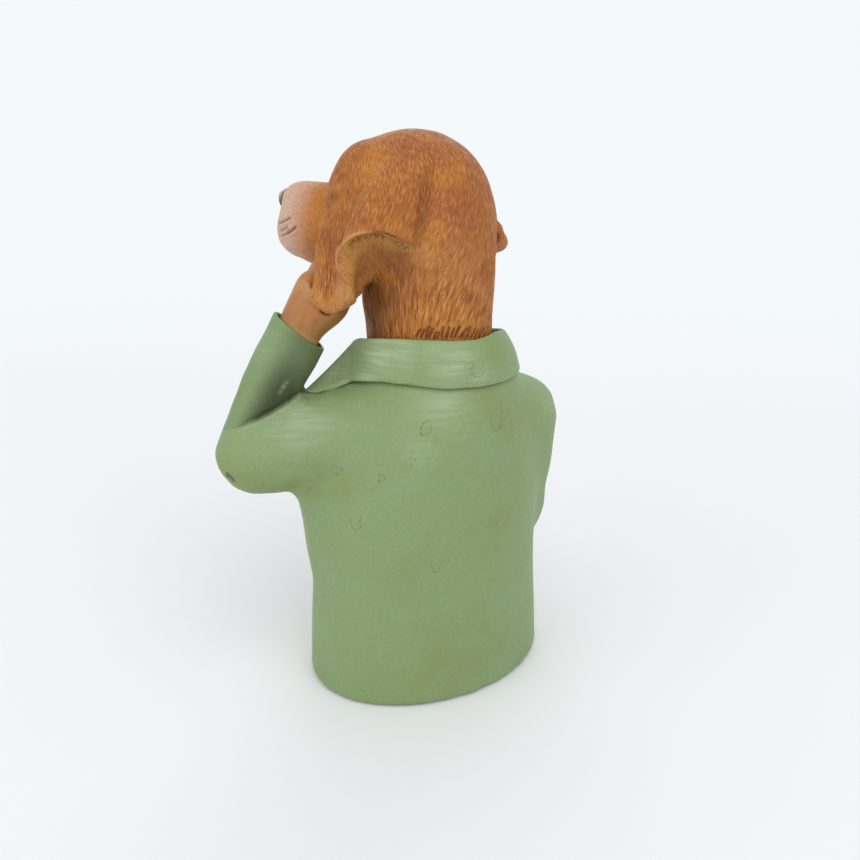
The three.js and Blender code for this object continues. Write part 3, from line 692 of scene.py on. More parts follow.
def box_of(node: str) -> tuple[Array, Array]:
    """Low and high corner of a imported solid's box, in millimetres."""
    low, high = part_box(node)
    return np.array(low) / MM, np.array(high) / MM


def middle_of(node: str) -> Array:
    """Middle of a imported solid's box, in millimetres."""
    low, high = box_of(node)
    return (low + high) / 2


def search_tree(points: Array) -> KDTree:
    """A search tree over points.

    Args:
        points: One row for each point.

    Returns:
        The tree, which gives row numbers.
    """
    tree = KDTree(len(points))
    for n, point in enumerate(points.tolist()):
        tree.insert(point, n)
    tree.balance()
    return tree


def new_object(name: str, points: Array, faces: list) -> bpy.types.Object:
    """A mesh object from points in millimetres.

    Args:
        name: Name of the object.
        points: One row for each point.
        faces: Point numbers of each face.

    Returns:
        The object, in the scene.
    """
    mesh = bpy.data.meshes.new(name)
    mesh.from_pydata((np.asarray(points) * MM).tolist(), [], faces)
    thing = bpy.data.objects.new(name, mesh)
    bpy.context.scene.collection.objects.link(thing)
    return thing


def settle(piece: bpy.types.Object, material: Material, slot: Slot, *nodes: str) -> None:
    """Gives a piece its finish and ties it to the figurine.

    Args:
        piece: The piece.
        material: Its finish.
        slot: Not used.
        *nodes: Solids that the piece stands for.
    """
    piece.data.materials.clear()
    piece.data.materials.append(material)
    piece.data.shade_smooth()
    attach(piece, BODY)
    if nodes:
        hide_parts(*nodes)
    LOG.info("%s: %d faces", piece.name, len(piece.data.polygons))


@dataclass(frozen=True)
class PhotoCamera:
    """The camera at the photograph's place, and what it sees."""

    place: Spot = (175.45, 307.8, 238.3)
    tilt: float = 70.5
    turn: float = 150.0
    focal: float = 840.0
    frame: float = 860.0
    sensor: float = 36.0

    def axes(self) -> Array:
        """The camera's right, up and back directions as columns."""
        angles = Euler((math.radians(self.tilt), 0.0, math.radians(self.turn)))
        return np.array(angles.to_matrix())

    def build(self) -> None:
        """Makes the camera and gives it to the scene."""
        data = bpy.data.cameras.new("photo_camera")
        data.sensor_width = self.sensor
        data.lens = self.sensor * self.focal / self.frame
        camera = bpy.data.objects.new("photo_camera", data)
        camera.location = [value * MM for value in self.place]
        camera.rotation_euler = (math.radians(self.tilt), 0.0, math.radians(self.turn))
        bpy.context.scene.collection.objects.link(camera)
        bpy.context.scene.camera = camera

    def seen(self, points: Array) -> Array:
        """The pixels at which points appear.

        Args:
            points: Places in millimetres.

        Returns:
            One pixel for each place.
        """
        rest = (points - np.asarray(self.place)) @ self.axes()
        half = self.frame / 2
        return np.stack([half - self.focal * rest[:, 0] / rest[:, 2],
                         half + self.focal * rest[:, 1] / rest[:, 2]], 1)

    def ray(self, pixel: Pixel) -> Array:
        """The direction in which a pixel lies."""
        half = self.frame / 2
        seen = np.array([pixel[0] - half, half - pixel[1], -self.focal])
        return unit(self.axes() @ seen)


class View:
    """A skin as the photograph's camera sees it."""

    def __init__(self, camera: PhotoCamera, skin: Skin) -> None:
        """Keeps the camera and prepares the search over the skin."""
        self.camera = camera
        self.hits = skin.hits()

    def at(self, pixel: Pixel) -> Array:
        """The nearest point of the skin behind a pixel.

        Args:
            pixel: Where the camera looks.

        Returns:
            The point, or the one closest to the ray where it misses.
        """
        ray = Vector(self.camera.ray(pixel))
        place = Vector(self.camera.place)
        spot = self.hits.ray_cast(place, ray)[0]
        if spot is None:
            reach = place.length
            spot = min((self.hits.find_nearest(place + ray * (reach * step / 50))
                        for step in range(30, 65)), key=lambda found: found[3])[0]
        return np.array(spot)

    def line(self, pixels: Sequence[Pixel], steps: int = 12) -> Array:
        """A soft line on the skin behind a row of pixels."""
        return curve_through([tuple(self.at(pixel)) for pixel in pixels], steps)

    def patch(self, skin: Skin, patch: Patch) -> Array:
        """A soft round patch on a skin behind a pixel, with its strength in the middle."""
        x, y, radius, strength = patch
        return strength * skin.spot(tuple(self.at((x, y))), radius)


@dataclass(frozen=True)
class Strokes:
    """A way of carving hair: sizes in millimetres, angles in degrees."""

    length: float
    width: float
    depth: float
    pitch: float
    stray: float = 9.0

    def carve(self, skin: Skin, flow: Array, share: Array, seed: int) -> Array:
        """Cuts strokes along a flow.

        Args:
            skin: Surface to carve.
            flow: Direction of the hair at each point.
            share: How much of each part of the surface is carved, 0 to 1.
            seed: Start of the random numbers.

        Returns:
            How deep each point lies in a stroke, 0 to 1.
        """
        rng = np.random.default_rng(seed)
        tree = search_tree(skin.points)
        normals = skin.normals()
        edge = np.linalg.norm(skin.points[skin.faces[:, 0]] - skin.points[skin.faces[:, 1]], axis=1)
        area = share.sum() * float(np.median(edge)) ** 2
        count = int(area / (self.length * self.pitch))
        starts = rng.choice(len(share), size=count, p=share / share.sum())
        turns = np.radians(rng.normal(0, self.stray, count))
        sizes = rng.uniform(0.65, 1.2, count)
        bends = rng.normal(0, 0.012, count)
        worn = np.zeros(len(share))
        for start, turn, size, bend in zip(starts, turns, sizes, bends):
            side = np.cross(normals[start], flow[start])
            along = math.cos(turn) * flow[start] + math.sin(turn) * side
            across = np.cross(normals[start], along)
            half = self.length * size / 2
            found = tree.find_range(skin.points[start], half + self.width)
            index = np.fromiter((hit[1] for hit in found), int, len(found))
            rest = skin.points[index] - skin.points[start]
            run = rest @ along
            off = (rest @ across - bend * run * run) / self.width
            cut = np.exp(-2 * off * off) * np.clip(1.3 - 1.3 * (run / half) ** 2, 0, 1) * min(1.0, size)
            worn[index] = np.maximum(worn[index], cut)
        rest = 0.4 if self.depth > 0 else 0.0
        skin.push((rest - worn) * np.sqrt(share) * self.depth)
        return worn * np.sqrt(share)


@dataclass(frozen=True)
class Ticks:
    """A row of short dark strokes: lengths in pixels, width and depth in millimetres."""

    shortest: float
    longest: float
    width: float
    depth: float
    dark: float

    def cut(self, skin: Skin, view: View, starts: Array, target: Array, seed: int,
            share: Array | float = 1.0) -> None:
        """Cuts the strokes.

        Args:
            skin: Surface to cut.
            view: The surface as the photograph shows it.
            starts: Pixels at which the strokes start.
            target: Pixel or pixels to which they point.
            seed: Start of the random numbers.
            share: How much of each point may be cut.
        """
        rng = np.random.default_rng(seed)
        starts = starts + rng.normal(0, 0.5, starts.shape)
        steps = unit(target - starts) + rng.normal(0, 0.12, starts.shape)
        steps = steps * rng.uniform(self.shortest, self.longest, (len(starts), 1)) / 2
        lines = [view.line([tuple(start + step * n) for n in (0.2, 1, 2)], 8)
                 for start, step in zip(starts, steps)]
        gap, _ = skin.near(np.vstack(lines), 2.0)
        line = bell(gap, self.width) * share
        skin.push(-self.depth * line)
        skin.add_note("groove", self.dark * line)


def flow_along(skin: Skin, wish: Array) -> Array:
    """Wished directions laid into the skin."""
    normals = skin.normals()
    return unit(wish - normals * (wish * normals).sum(1, keepdims=True))


def led_by(flow: Array, skin: Skin, view: View, leads: Sequence[Lead],
           radius: float, weight: float = 9.0) -> Array:
    """Bends a flow towards strokes that the photograph shows.

    Args:
        flow: Flow to start from.
        skin: The surface.
        view: The surface as the photograph shows it.
        leads: Directions of the hair in the picture.
        radius: Reach of one lead.
        weight: Pull of a lead against the flow.

    Returns:
        The bent flow.
    """
    total = flow.copy()
    for x, y, right, down in leads:
        here = view.at((x, y))
        there = view.at((x + 2 * right, y + 2 * down))
        total += weight * skin.spot(tuple(here), radius)[:, None] * unit(there - here)
    return flow_along(skin, total)


@dataclass(frozen=True)
class JacketPaint:
    """Sage green brushed over olive, rubbed pale on the high places, with painted highlights there and
    painted shade in the hollows.
    """

    sage: Tint = tint(127, 150, 97)
    olive: Tint = tint(126, 140, 78)
    cool: Tint = tint(128, 154, 110)
    pale: Tint = tint(182, 196, 164)
    deep: Tint = tint(38, 52, 22)
    line: Tint = tint(74, 84, 44)
    chip: Tint = tint(80, 88, 80)
    slants: Spot = (38.0, -42.0, 4.0)
    olive_share: float = 0.6
    cool_share: float = 0.4
    stroke_share: float = 0.11
    painted_shade_share: float = 0.92
    line_share: float = 0.5
    relief: float = 0.08

    def hatch(self, paint: Paint, turn: float) -> Sock:
        """Long brush strokes at a slant, in degrees, seen from behind."""
        place = paint.stretched((1400.0, 700.0, 190.0), (0.0, turn, 0.0))
        return paint.noise(1.0, 2.0, place).step(0.5, 0.78)

    def scratch(self, paint: Paint, centre: Array, across: Array, down: Array,
                radius: float, ring: bool) -> Sock:
        """A small scratched loop.

        Args:
            paint: The paint being mixed.
            centre: Middle of its round lower end.
            across: Direction to its right.
            down: Direction to its lower end.
            radius: Half its width.
            ring: Whether it is closed.

        Returns:
            1 on the line, else 0.
        """
        inputs = {0: paint.place(), 1: metres(centre)}
        rest = paint.node("ShaderNodeVectorMath", {"operation": "SUBTRACT"}, inputs)

        def along(direction: Array) -> Sock:
            """Distance along a direction, in millimetres."""
            inputs = {0: rest, 1: tuple(float(value) / MM for value in direction)}
            return paint.node("ShaderNodeVectorMath", {"operation": "DOT_PRODUCT"}, inputs, "Value")

        wobble = (paint.noise(330.0, 1.0) - 0.5) * 6.0
        x, y, z = along(across) + wobble, along(down) - wobble * 0.6, along(np.cross(across, down))
        gap = abs((x * x + y * y).root() - radius)
        if not ring:
            upper = y < 0.0
            gap = gap * (1 - upper) + abs(abs(x) - radius) * upper
        within = (abs(y) < 1.7 * radius) * (abs(z) < 4.0)
        return (gap + paint.noise(600.0, 2.0) * 0.5).step(0.52, 0.3) * within

    def mix(self, name: str, marks: Sequence[Mark] = (),
            chip: Array | None = None) -> Material:
        """Mixes the paint.

        Args:
            name: Name of the material.
            marks: Places and directions of the scratched loops.
            chip: Middle of the knocked-off place.

        Returns:
            The material.
        """
        paint = Paint(name)
        patches = paint.noise(26.0, 2.0).step(0.46, 0.68)
        cloud = paint.noise(60.0, 3.0).step(0.42, 0.66)
        colour = paint.blend(patches * self.olive_share, self.sage, self.olive)
        colour = paint.blend(cloud * self.cool_share, colour, self.cool)
        rising, falling, level = (self.hatch(paint, slant) for slant in self.slants)
        strokes = rising.most(falling).most(level * 0.7)
        colour = paint.blend(strokes * self.stroke_share, colour, self.pale)
        grain = paint.noise(2400.0, 2.0)
        colour = paint.blend(grain.step(0.5, 0.8) * 0.15, colour, self.deep)
        brushed = paint.noise(1.0, 3.0, paint.stretched((60.0, 60.0, 700.0)))
        # Pale wear on edges and scuffs, together with painted highlights where light falls.
        wear_and_highlight = paint.note("wear_and_highlight") * (0.35 + brushed.step(0.35, 0.7) * 0.65)
        colour = paint.blend(wear_and_highlight, colour, self.pale)
        # Painted shade in the deep colour: hollows, creases, cuff bores and the raised sleeve's side
        # towards the body.
        colour = paint.blend(paint.note("painted_shade") * self.painted_shade_share, colour, self.deep)
        height = grain * 0.25 + strokes * 0.2
        if marks:
            lines = self.scratch(paint, *marks[0])
            for mark in marks[1:]:
                lines = lines.most(self.scratch(paint, *mark))
            worn = lines * paint.noise(500.0, 1.0).step(0.3, 0.5)
            colour = paint.blend(worn * self.line_share, colour, self.line)
            height = height - worn
        if chip is not None:
            inputs = {0: paint.place(), 1: metres(chip)}
            gap = paint.node("ShaderNodeVectorMath", {"operation": "DISTANCE"}, inputs, "Value")
            ragged = gap / MM + paint.noise(420.0, 2.0) * 7.0
            colour = paint.blend(ragged.step(5.4, 5.0), colour, self.chip)
        roughness = 0.4 + paint.noise(90.0, 3.0) * 0.18 + grain * 0.06
        return paint.finish(colour, roughness, height, self.relief)


@dataclass(frozen=True)
class FurPaint:
    """Russet fur with a dark wash in the carved strokes."""

    russet: Tint = tint(164, 93, 32)
    ochre: Tint = tint(192, 122, 36)
    rose: Tint = tint(154, 82, 36)
    wash: Tint = tint(84, 32, 6)
    ash: Tint = tint(206, 176, 156)
    shade: Tint = tint(66, 28, 4)
    cream: Tint = tint(214, 162, 98)
    tan: Tint = tint(188, 132, 64)
    short_hair: tuple[float, float] = (1.9, 0.28)
    long_hair: tuple[float, float] = (1.15, 0.15)
    groove_share: float = 0.66
    relief: float = 0.32

    def mix(self, name: str) -> Material:
        """Mixes the paint.

        Args:
            name: Name of the material.

        Returns:
            The material.
        """
        paint = Paint(name)
        patches = paint.noise(45.0, 2.0)
        colour = paint.blend(patches.step(0.42, 0.66) * 0.55, self.russet, self.rose)
        colour = paint.blend(paint.noise(70.0, 2.0).step(0.5, 0.7) * 0.5, colour, self.ochre)
        colour = paint.blend(paint.note("ochre"), colour, self.ochre)
        colour = paint.blend(paint.note("ash"), colour, self.ash)
        grain = paint.noise(1600.0, 2.0)
        colour = paint.blend(paint.note("lining"), colour, self.tan)
        combed = paint.note("combed")
        long = paint.note("long")
        hair = self.hair(paint, *self.short_hair) * (1 - long) + self.hair(paint, *self.long_hair) * long
        ridge, gap = hair.step(0.52, 0.63) * combed, hair.step(0.48, 0.37) * combed
        colour = paint.blend(ridge * (0.3 + long * 0.12), colour, self.cream)
        colour = paint.blend(gap * (0.32 + long * 0.04), colour, self.wash)
        groove = paint.note("groove")
        colour = paint.blend(groove.step(0.15, 0.95) * self.groove_share, colour, self.wash)
        # Cream from the lip note: painted highlight on the ear's rim, and the paler fringe and patches.
        colour = paint.blend(paint.note("lip"), colour, self.cream)
        colour = paint.blend(paint.note("shade"), colour, self.shade)
        roughness = 0.5 + grain * 0.14 + groove * 0.1
        height = hair * combed + grain * 0.25
        return paint.finish(colour, roughness, height, self.relief, Specular_IOR_Level=0.35)

    @staticmethod
    def hair(paint: Paint, fine: float, long: float) -> Sock:
        """Ridges along the hair, with fine ridges a millimetre across and long breaks along."""
        place = {0: paint.note("across") * fine, 1: paint.note("along") * long}
        return paint.noise(1.0, 2.0, paint.node("ShaderNodeCombineXYZ", None, place))


@dataclass(frozen=True)
class PawPaint:
    """Smooth ochre brown skin, with painted shade making it darker towards the cuff, and darker between
    the toes.
    """

    skin: Tint = tint(184, 129, 82)
    warm: Tint = tint(170, 109, 56)
    olive: Tint = tint(148, 104, 40)
    wash: Tint = tint(104, 58, 28)
    sand: Tint = tint(190, 150, 92)

    def mix(self, name: str) -> Material:
        """Mixes the paint.

        Args:
            name: Name of the material.

        Returns:
            The material.
        """
        paint = Paint(name)
        colour = paint.blend(paint.noise(60.0, 3.0).step(0.42, 0.64), self.skin, self.warm)
        # Painted shade in olive on the side that faces down.
        colour = paint.blend(paint.note("under") * 0.8, colour, self.olive)
        brushed = paint.noise(1.0, 2.0, paint.stretched((420.0, 420.0, 90.0), (0.0, 24.0, 0.0)))
        colour = paint.blend(brushed.step(0.52, 0.72) * 0.45, colour, self.olive)
        colour = paint.blend(paint.note("sand"), colour, self.sand)
        grain = paint.noise(1900.0, 3.0)
        colour = paint.blend(grain.step(0.52, 0.8) * 0.18, colour, self.wash)
        colour = paint.blend(paint.note("groove") * 0.7, colour, self.wash)
        roughness = 0.42 + grain * 0.14
        return paint.finish(colour, roughness, grain, 0.05)


@dataclass(frozen=True)
class Lacquer:
    """A glossy or matt coat with a fine grain and two tones."""

    body: Tint
    worn: Tint
    roughness: float
    grain: float = 900.0
    relief: float = 0.06
    metal: float = 0.0

    def mix(self, name: str) -> Material:
        """Mixes the coat.

        Args:
            name: Name of the material.

        Returns:
            The material.
        """
        paint = Paint(name)
        grain = paint.noise(self.grain, 3.0)
        colour = paint.blend(paint.noise(self.grain / 6, 2.0).step(0.4, 0.7), self.body, self.worn)
        colour = paint.blend(grain.step(0.5, 0.8) * 0.25, colour, self.worn)
        return paint.finish(colour, self.roughness + grain * 0.12, grain, self.relief, Metallic=self.metal)


HORN = Lacquer(tint(96, 70, 46), tint(66, 46, 30), 0.3, 500.0)
THREAD = Lacquer(tint(70, 84, 52), tint(52, 64, 38), 0.7, 2500.0)
RESIN = Lacquer(tint(204, 196, 180), tint(184, 174, 156), 0.6, 700.0, 0.08)
STEEL = Lacquer(tint(168, 170, 172), tint(140, 142, 146), 0.28, 1500.0, 0.02, 1.0)


@dataclass(frozen=True)
class EyeGloss:
    """Dark gloss with a flecked brown iris round the pupil."""

    ball: Tint = tint(30, 18, 12)
    dark: Tint = tint(52, 25, 9)
    light: Tint = tint(94, 50, 18)
    pupil: Tint = tint(12, 9, 8)

    def mix(self, name: str) -> Material:
        """Mixes the finish under a name.

        Args:
            name: Name of the material.

        Returns:
            The material.
        """
        paint = Paint(name)
        fleck = paint.noise(1400.0, 3.0)
        iris = paint.blend(fleck.step(0.4, 0.7), self.dark, self.light)
        colour = paint.blend(paint.note("iris"), self.ball, iris)
        colour = paint.blend(paint.note("pupil"), colour, self.pupil)
        roughness = 0.1 + fleck * 0.05
        return paint.finish(colour, roughness, fleck, 0.01, Coat_Weight=0.15, Specular_IOR_Level=0.25)


@dataclass(frozen=True)
class NoseLeather:
    """Dark pebbled leather that runs out into the pale fur."""

    light: Tint = tint(66, 54, 50)
    dark: Tint = tint(38, 30, 28)
    hole: Tint = tint(12, 9, 8)

    def mix(self, name: str) -> Material:
        """Mixes the finish under a name.

        Args:
            name: Name of the material.

        Returns:
            The material.
        """
        paint = Paint(name)
        inputs = {"Vector": paint.place(), "Scale": 1300.0}
        pebbles = paint.node("ShaderNodeTexVoronoi", {"feature": "F1"}, inputs, "Distance")
        colour = paint.blend(pebbles.step(0.1, 0.7), self.light, self.dark)
        colour = paint.blend(paint.note("shade"), colour, self.hole)
        colour = paint.blend(paint.note("furred") * 0.85, colour, FurPaint.ash)
        return paint.finish(colour, 0.28 + pebbles * 0.15, 1 - pebbles, 0.12)


@dataclass(frozen=True)
class WoolFelt:
    """Pressed green wool."""

    dark: Tint = tint(50, 66, 44)
    light: Tint = tint(86, 104, 76)

    def mix(self, name: str) -> Material:
        """Mixes the finish under a name.

        Args:
            name: Name of the material.

        Returns:
            The material.
        """
        paint = Paint(name)
        fibres = paint.noise(1.0, 4.0, paint.stretched((2600.0, 900.0, 2600.0), (0.0, 0.0, 35.0)))
        cross = paint.noise(1.0, 4.0, paint.stretched((900.0, 2600.0, 2600.0), (0.0, 0.0, 15.0)))
        wool = fibres * 0.5 + cross * 0.5
        colour = paint.blend(wool.step(0.35, 0.65), self.dark, self.light)
        return paint.finish(colour, 0.9 + wool * 0.08, wool, 0.3)


@dataclass
class Studio:
    """Pale floor, soft lamps and a white surround."""

    floor_tint: Tint = tint(240, 241, 243)
    surround: Tint = tint(244, 249, 251)
    floor_reach: float = 6000.0
    fade_start: float = 0.25
    fade_end: float = 1.1
    sky: float = 0.72
    sky_tint: Tint = (0.96, 0.98, 1.0, 1.0)
    aim: Spot = (0.0, 0.0, 0.12)
    lamps: tuple[tuple[str, Spot, float, float], ...] = (
        ("key", (0.1, 1.2, 1.5), 1.6, 11.0),
        ("fill", (1.4, 0.1, 0.7), 1.4, 5.0),
        ("front", (-0.9, -1.2, 1.1), 1.4, 6.0),
    )

    def build(self) -> None:
        """Makes the floor, the lamps and the surround."""
        corners = np.array([(-1, -1, 0), (1, -1, 0), (1, 1, 0), (-1, 1, 0)], float)
        floor = new_object("floor", self.floor_reach * corners, [[0, 1, 2, 3]])
        floor.data.materials.append(self.floor_paint())
        for name, place, size, power in self.lamps:
            self.lamp(name, place, size, power)
        self.sky_light()
        bpy.context.scene.view_settings.view_transform = "Standard"

    def floor_paint(self) -> Material:
        """White floor that keeps the shadow."""
        paint = Paint("floor_white")
        grain = paint.noise(30.0, 2.0)
        colour = paint.blend(grain * 0.04, self.floor_tint, self.surround)
        near = paint.node("ShaderNodeBsdfPrincipled", None, {"Base Color": colour, "Roughness": 0.9})
        away = paint.node("ShaderNodeVectorMath", {"operation": "LENGTH"}, {0: paint.place()}, "Value")
        far = paint.node("ShaderNodeEmission", None, {"Color": self.surround, "Strength": 1.0})
        share = paint.looked_at() * away.step(self.fade_start, self.fade_end)
        mixed = {"Fac": share, 1: near, 2: far}
        paint.node_output(paint.node("ShaderNodeMixShader", None, mixed))
        return paint.material

    def lamp(self, name: str, place: Spot, size: float, power: float) -> None:
        """A square soft lamp that faces the figurine.

        Args:
            name: Name of the lamp.
            place: Its middle, in metres.
            size: Its side, in metres.
            power: Its power in watts.
        """
        data = bpy.data.lights.new(name, "AREA")
        data.size = size
        data.energy = power
        lamp = bpy.data.objects.new(name, data)
        lamp.location = place
        aim = Vector(self.aim) - Vector(place)
        lamp.rotation_euler = aim.to_track_quat("-Z", "Y").to_euler()
        bpy.context.scene.collection.objects.link(lamp)

    def sky_light(self) -> None:
        """Even light from all round, white where it is looked at."""
        paint = Paint("surround", world=True)
        bpy.context.scene.world = paint.material
        light = paint.node("ShaderNodeBackground", None, {"Color": self.sky_tint, "Strength": self.sky})
        white = paint.node("ShaderNodeBackground", None, {"Color": self.surround, "Strength": 1.0})
        mixed = {"Fac": paint.looked_at(), 1: light, 2: white}
        paint.node_output(paint.node("ShaderNodeMixShader", None, mixed))


def tube(line: Array, radii: Array, sides: int = 14) -> Solid:
    """A round bar of changing thickness along a line.

    Args:
        line: Points along its middle.
        radii: Its radius at each point.
        sides: Number of sides.

    Returns:
        The closed bar.
    """
    ahead = unit(np.gradient(line, axis=0))
    side = unit(np.cross(ahead, ahead[0] + np.array((0.31, 0.17, 0.93))))
    other = np.cross(ahead, side)
    turn = np.linspace(0, 2 * math.pi, sides, endpoint=False)[:, None, None]
    rings = line + (np.cos(turn) * side + np.sin(turn) * other) * radii[:, None]
    points = rings.transpose(1, 0, 2).reshape(-1, 3)
    last = (len(line) - 1) * sides
    ends = [list(range(sides))[::-1], list(range(last, last + sides))]
    return Solid(points, bands(len(line), sides) + ends)


def plate_between(front: Array, back: Array) -> Solid:
    """A closed plate between two grids of points.

    Args:
        front: Points of one side, in rows.
        back: Points of the other side, in rows.

    Returns:
        The plate.
    """
    rows, columns = front.shape[:2]
    size = rows * columns
    number = np.arange(size).reshape(rows, columns)
    faces = []
    for r in range(rows - 1):
        for c in range(columns - 1):
            quad = [number[r, c], number[r, c + 1], number[r + 1, c + 1], number[r + 1, c]]
            faces += [quad, [n + size for n in quad[::-1]]]
    rim = [*number[0, :-1], *number[:-1, -1], *number[-1, :0:-1], *number[:0:-1, 0]]
    faces += [[b, a, a + size, b + size] for a, b in zip(rim, [*rim[1:], rim[0]])]
    points = np.vstack([front.reshape(-1, 3), back.reshape(-1, 3)])
    return Solid(points, [[int(n) for n in face] for face in faces])


@dataclass(frozen=True)
class Cuff:
    """The open end of a sleeve."""

    mouth: Spot
    start: Spot
    radius: float = 12.5
    wall: float = 1.5
    recess: float = 2.6
    length: float = 6.0
    plug_length: float = 22.0
    slant: Spot = (0, 0, 0)

    def axis(self) -> Array:
        """Direction in which the sleeve opens."""
        return unit(np.subtract(self.mouth, self.start))

    def rise(self, points: Array) -> Array:
        """How far the slanted rim lies beyond a square one, at each point."""
        flat = np.asarray(self.slant, float)
        flat = flat - self.axis() * (flat @ self.axis())
        return (points - np.asarray(self.mouth)) @ flat

    def trim(self, skin: "Skin") -> None:
        """Cuts the sleeve off under its slanted rim.

        Args:
            skin: The jacket with its sleeves.
        """
        rest = skin.points - np.asarray(self.mouth)
        along = rest @ self.axis()
        off = np.linalg.norm(rest - along[:, None] * self.axis(), axis=1)
        over = along - (self.rise(skin.points) - self.recess)
        over = np.where((off < 2 * self.radius) & (over > 0) & (along < 2 * self.radius), over, 0)
        wall = (off > self.radius - 2.0) & (off < 1.4 * self.radius)
        wall = wall & (along > -20) & (along < 2 * self.radius)
        drawn = np.where(wall, smooth(along - self.rise(skin.points), -16.0, -6.0), 0)
        out = (rest - along[:, None] * self.axis()) / np.maximum(off, 1.0)[:, None]
        drawn = ((self.radius - off) * drawn)[:, None]
        skin.points = skin.points - over[:, None] * self.axis() + out * drawn

    def plug(self) -> Solid:
        """A bar that fills the sleeve's bore up to the recess.

        Returns:
            The bar.
        """
        foot = np.asarray(self.mouth) - self.plug_length * self.axis()
        head = np.asarray(self.mouth) - self.recess * self.axis()
        bar = Solid.column(tuple(foot), tuple(head), (self.radius - self.wall,) * 2)
        half = len(bar.points) // 2
        bar.points[half:] += self.rise(bar.points[half:])[:, None] * self.axis()
        return bar

    def build(self, name: str, material: Material,
              dim: Callable[[Array], Array] | None = None, sides: int = 72) -> None:
        """Makes the lip of the cuff.

        Args:
            name: Name of the piece.
            material: The jacket's finish.
            dim: Painted shade of the sleeve at given points.
            sides: Steps round the lip.
        """
        r, w = self.radius, self.wall
        profile = curve_through([
            (r - 0.7, -self.length, 0), (r - 0.06, -0.8 * self.length, 0),
            (r + 0.06, -0.5 * self.length, 0), (r + 0.04, -0.5, 0), (r - 0.25, -0.05, 0),
            (r - w / 2, 0.1, 0), (r - w + 0.25, -0.1, 0), (r - w, -0.6, 0),
            (r - w - 0.1, -1.1 * self.recess, 0), (r - w + 0.2, -1.3 * self.recess, 0),
        ], 4)
        axis = self.axis()
        side = unit(np.cross(axis, (0.2, 0.9, 0.3)))
        other = np.cross(axis, side)
        turn = np.linspace(0, 2 * math.pi, sides, endpoint=False)
        round_way = np.cos(turn)[:, None] * side + np.sin(turn)[:, None] * other
        rings = []
        for reach, rise, _ in profile:
            ring = np.asarray(self.mouth) + round_way * reach
            lift = rise + self.rise(ring) * smooth(rise, -self.length, -self.recess)
            rings.append(ring + axis * lift[:, None])
        skin = Skin(np.vstack(rings), np.array(bands(len(rings), sides, closed=True)))
        # Paler on the rim's top, wear and painted highlight; painted shade inside the bore and on the
        # sleeve's side towards the body.
        skin.notes["wear_and_highlight"] = np.repeat(0.25 * smooth(profile[:, 1], -0.6, 0.0), sides)
        skin.notes["painted_shade"] = np.repeat(smooth(-profile[:, 0], w - r - 0.2, w - r + 0.1) * 0.8, sides)
        if dim:
            skin.add_note("painted_shade", dim(skin.points))
        skin.refined().build(name, material, Slot.JACKET)


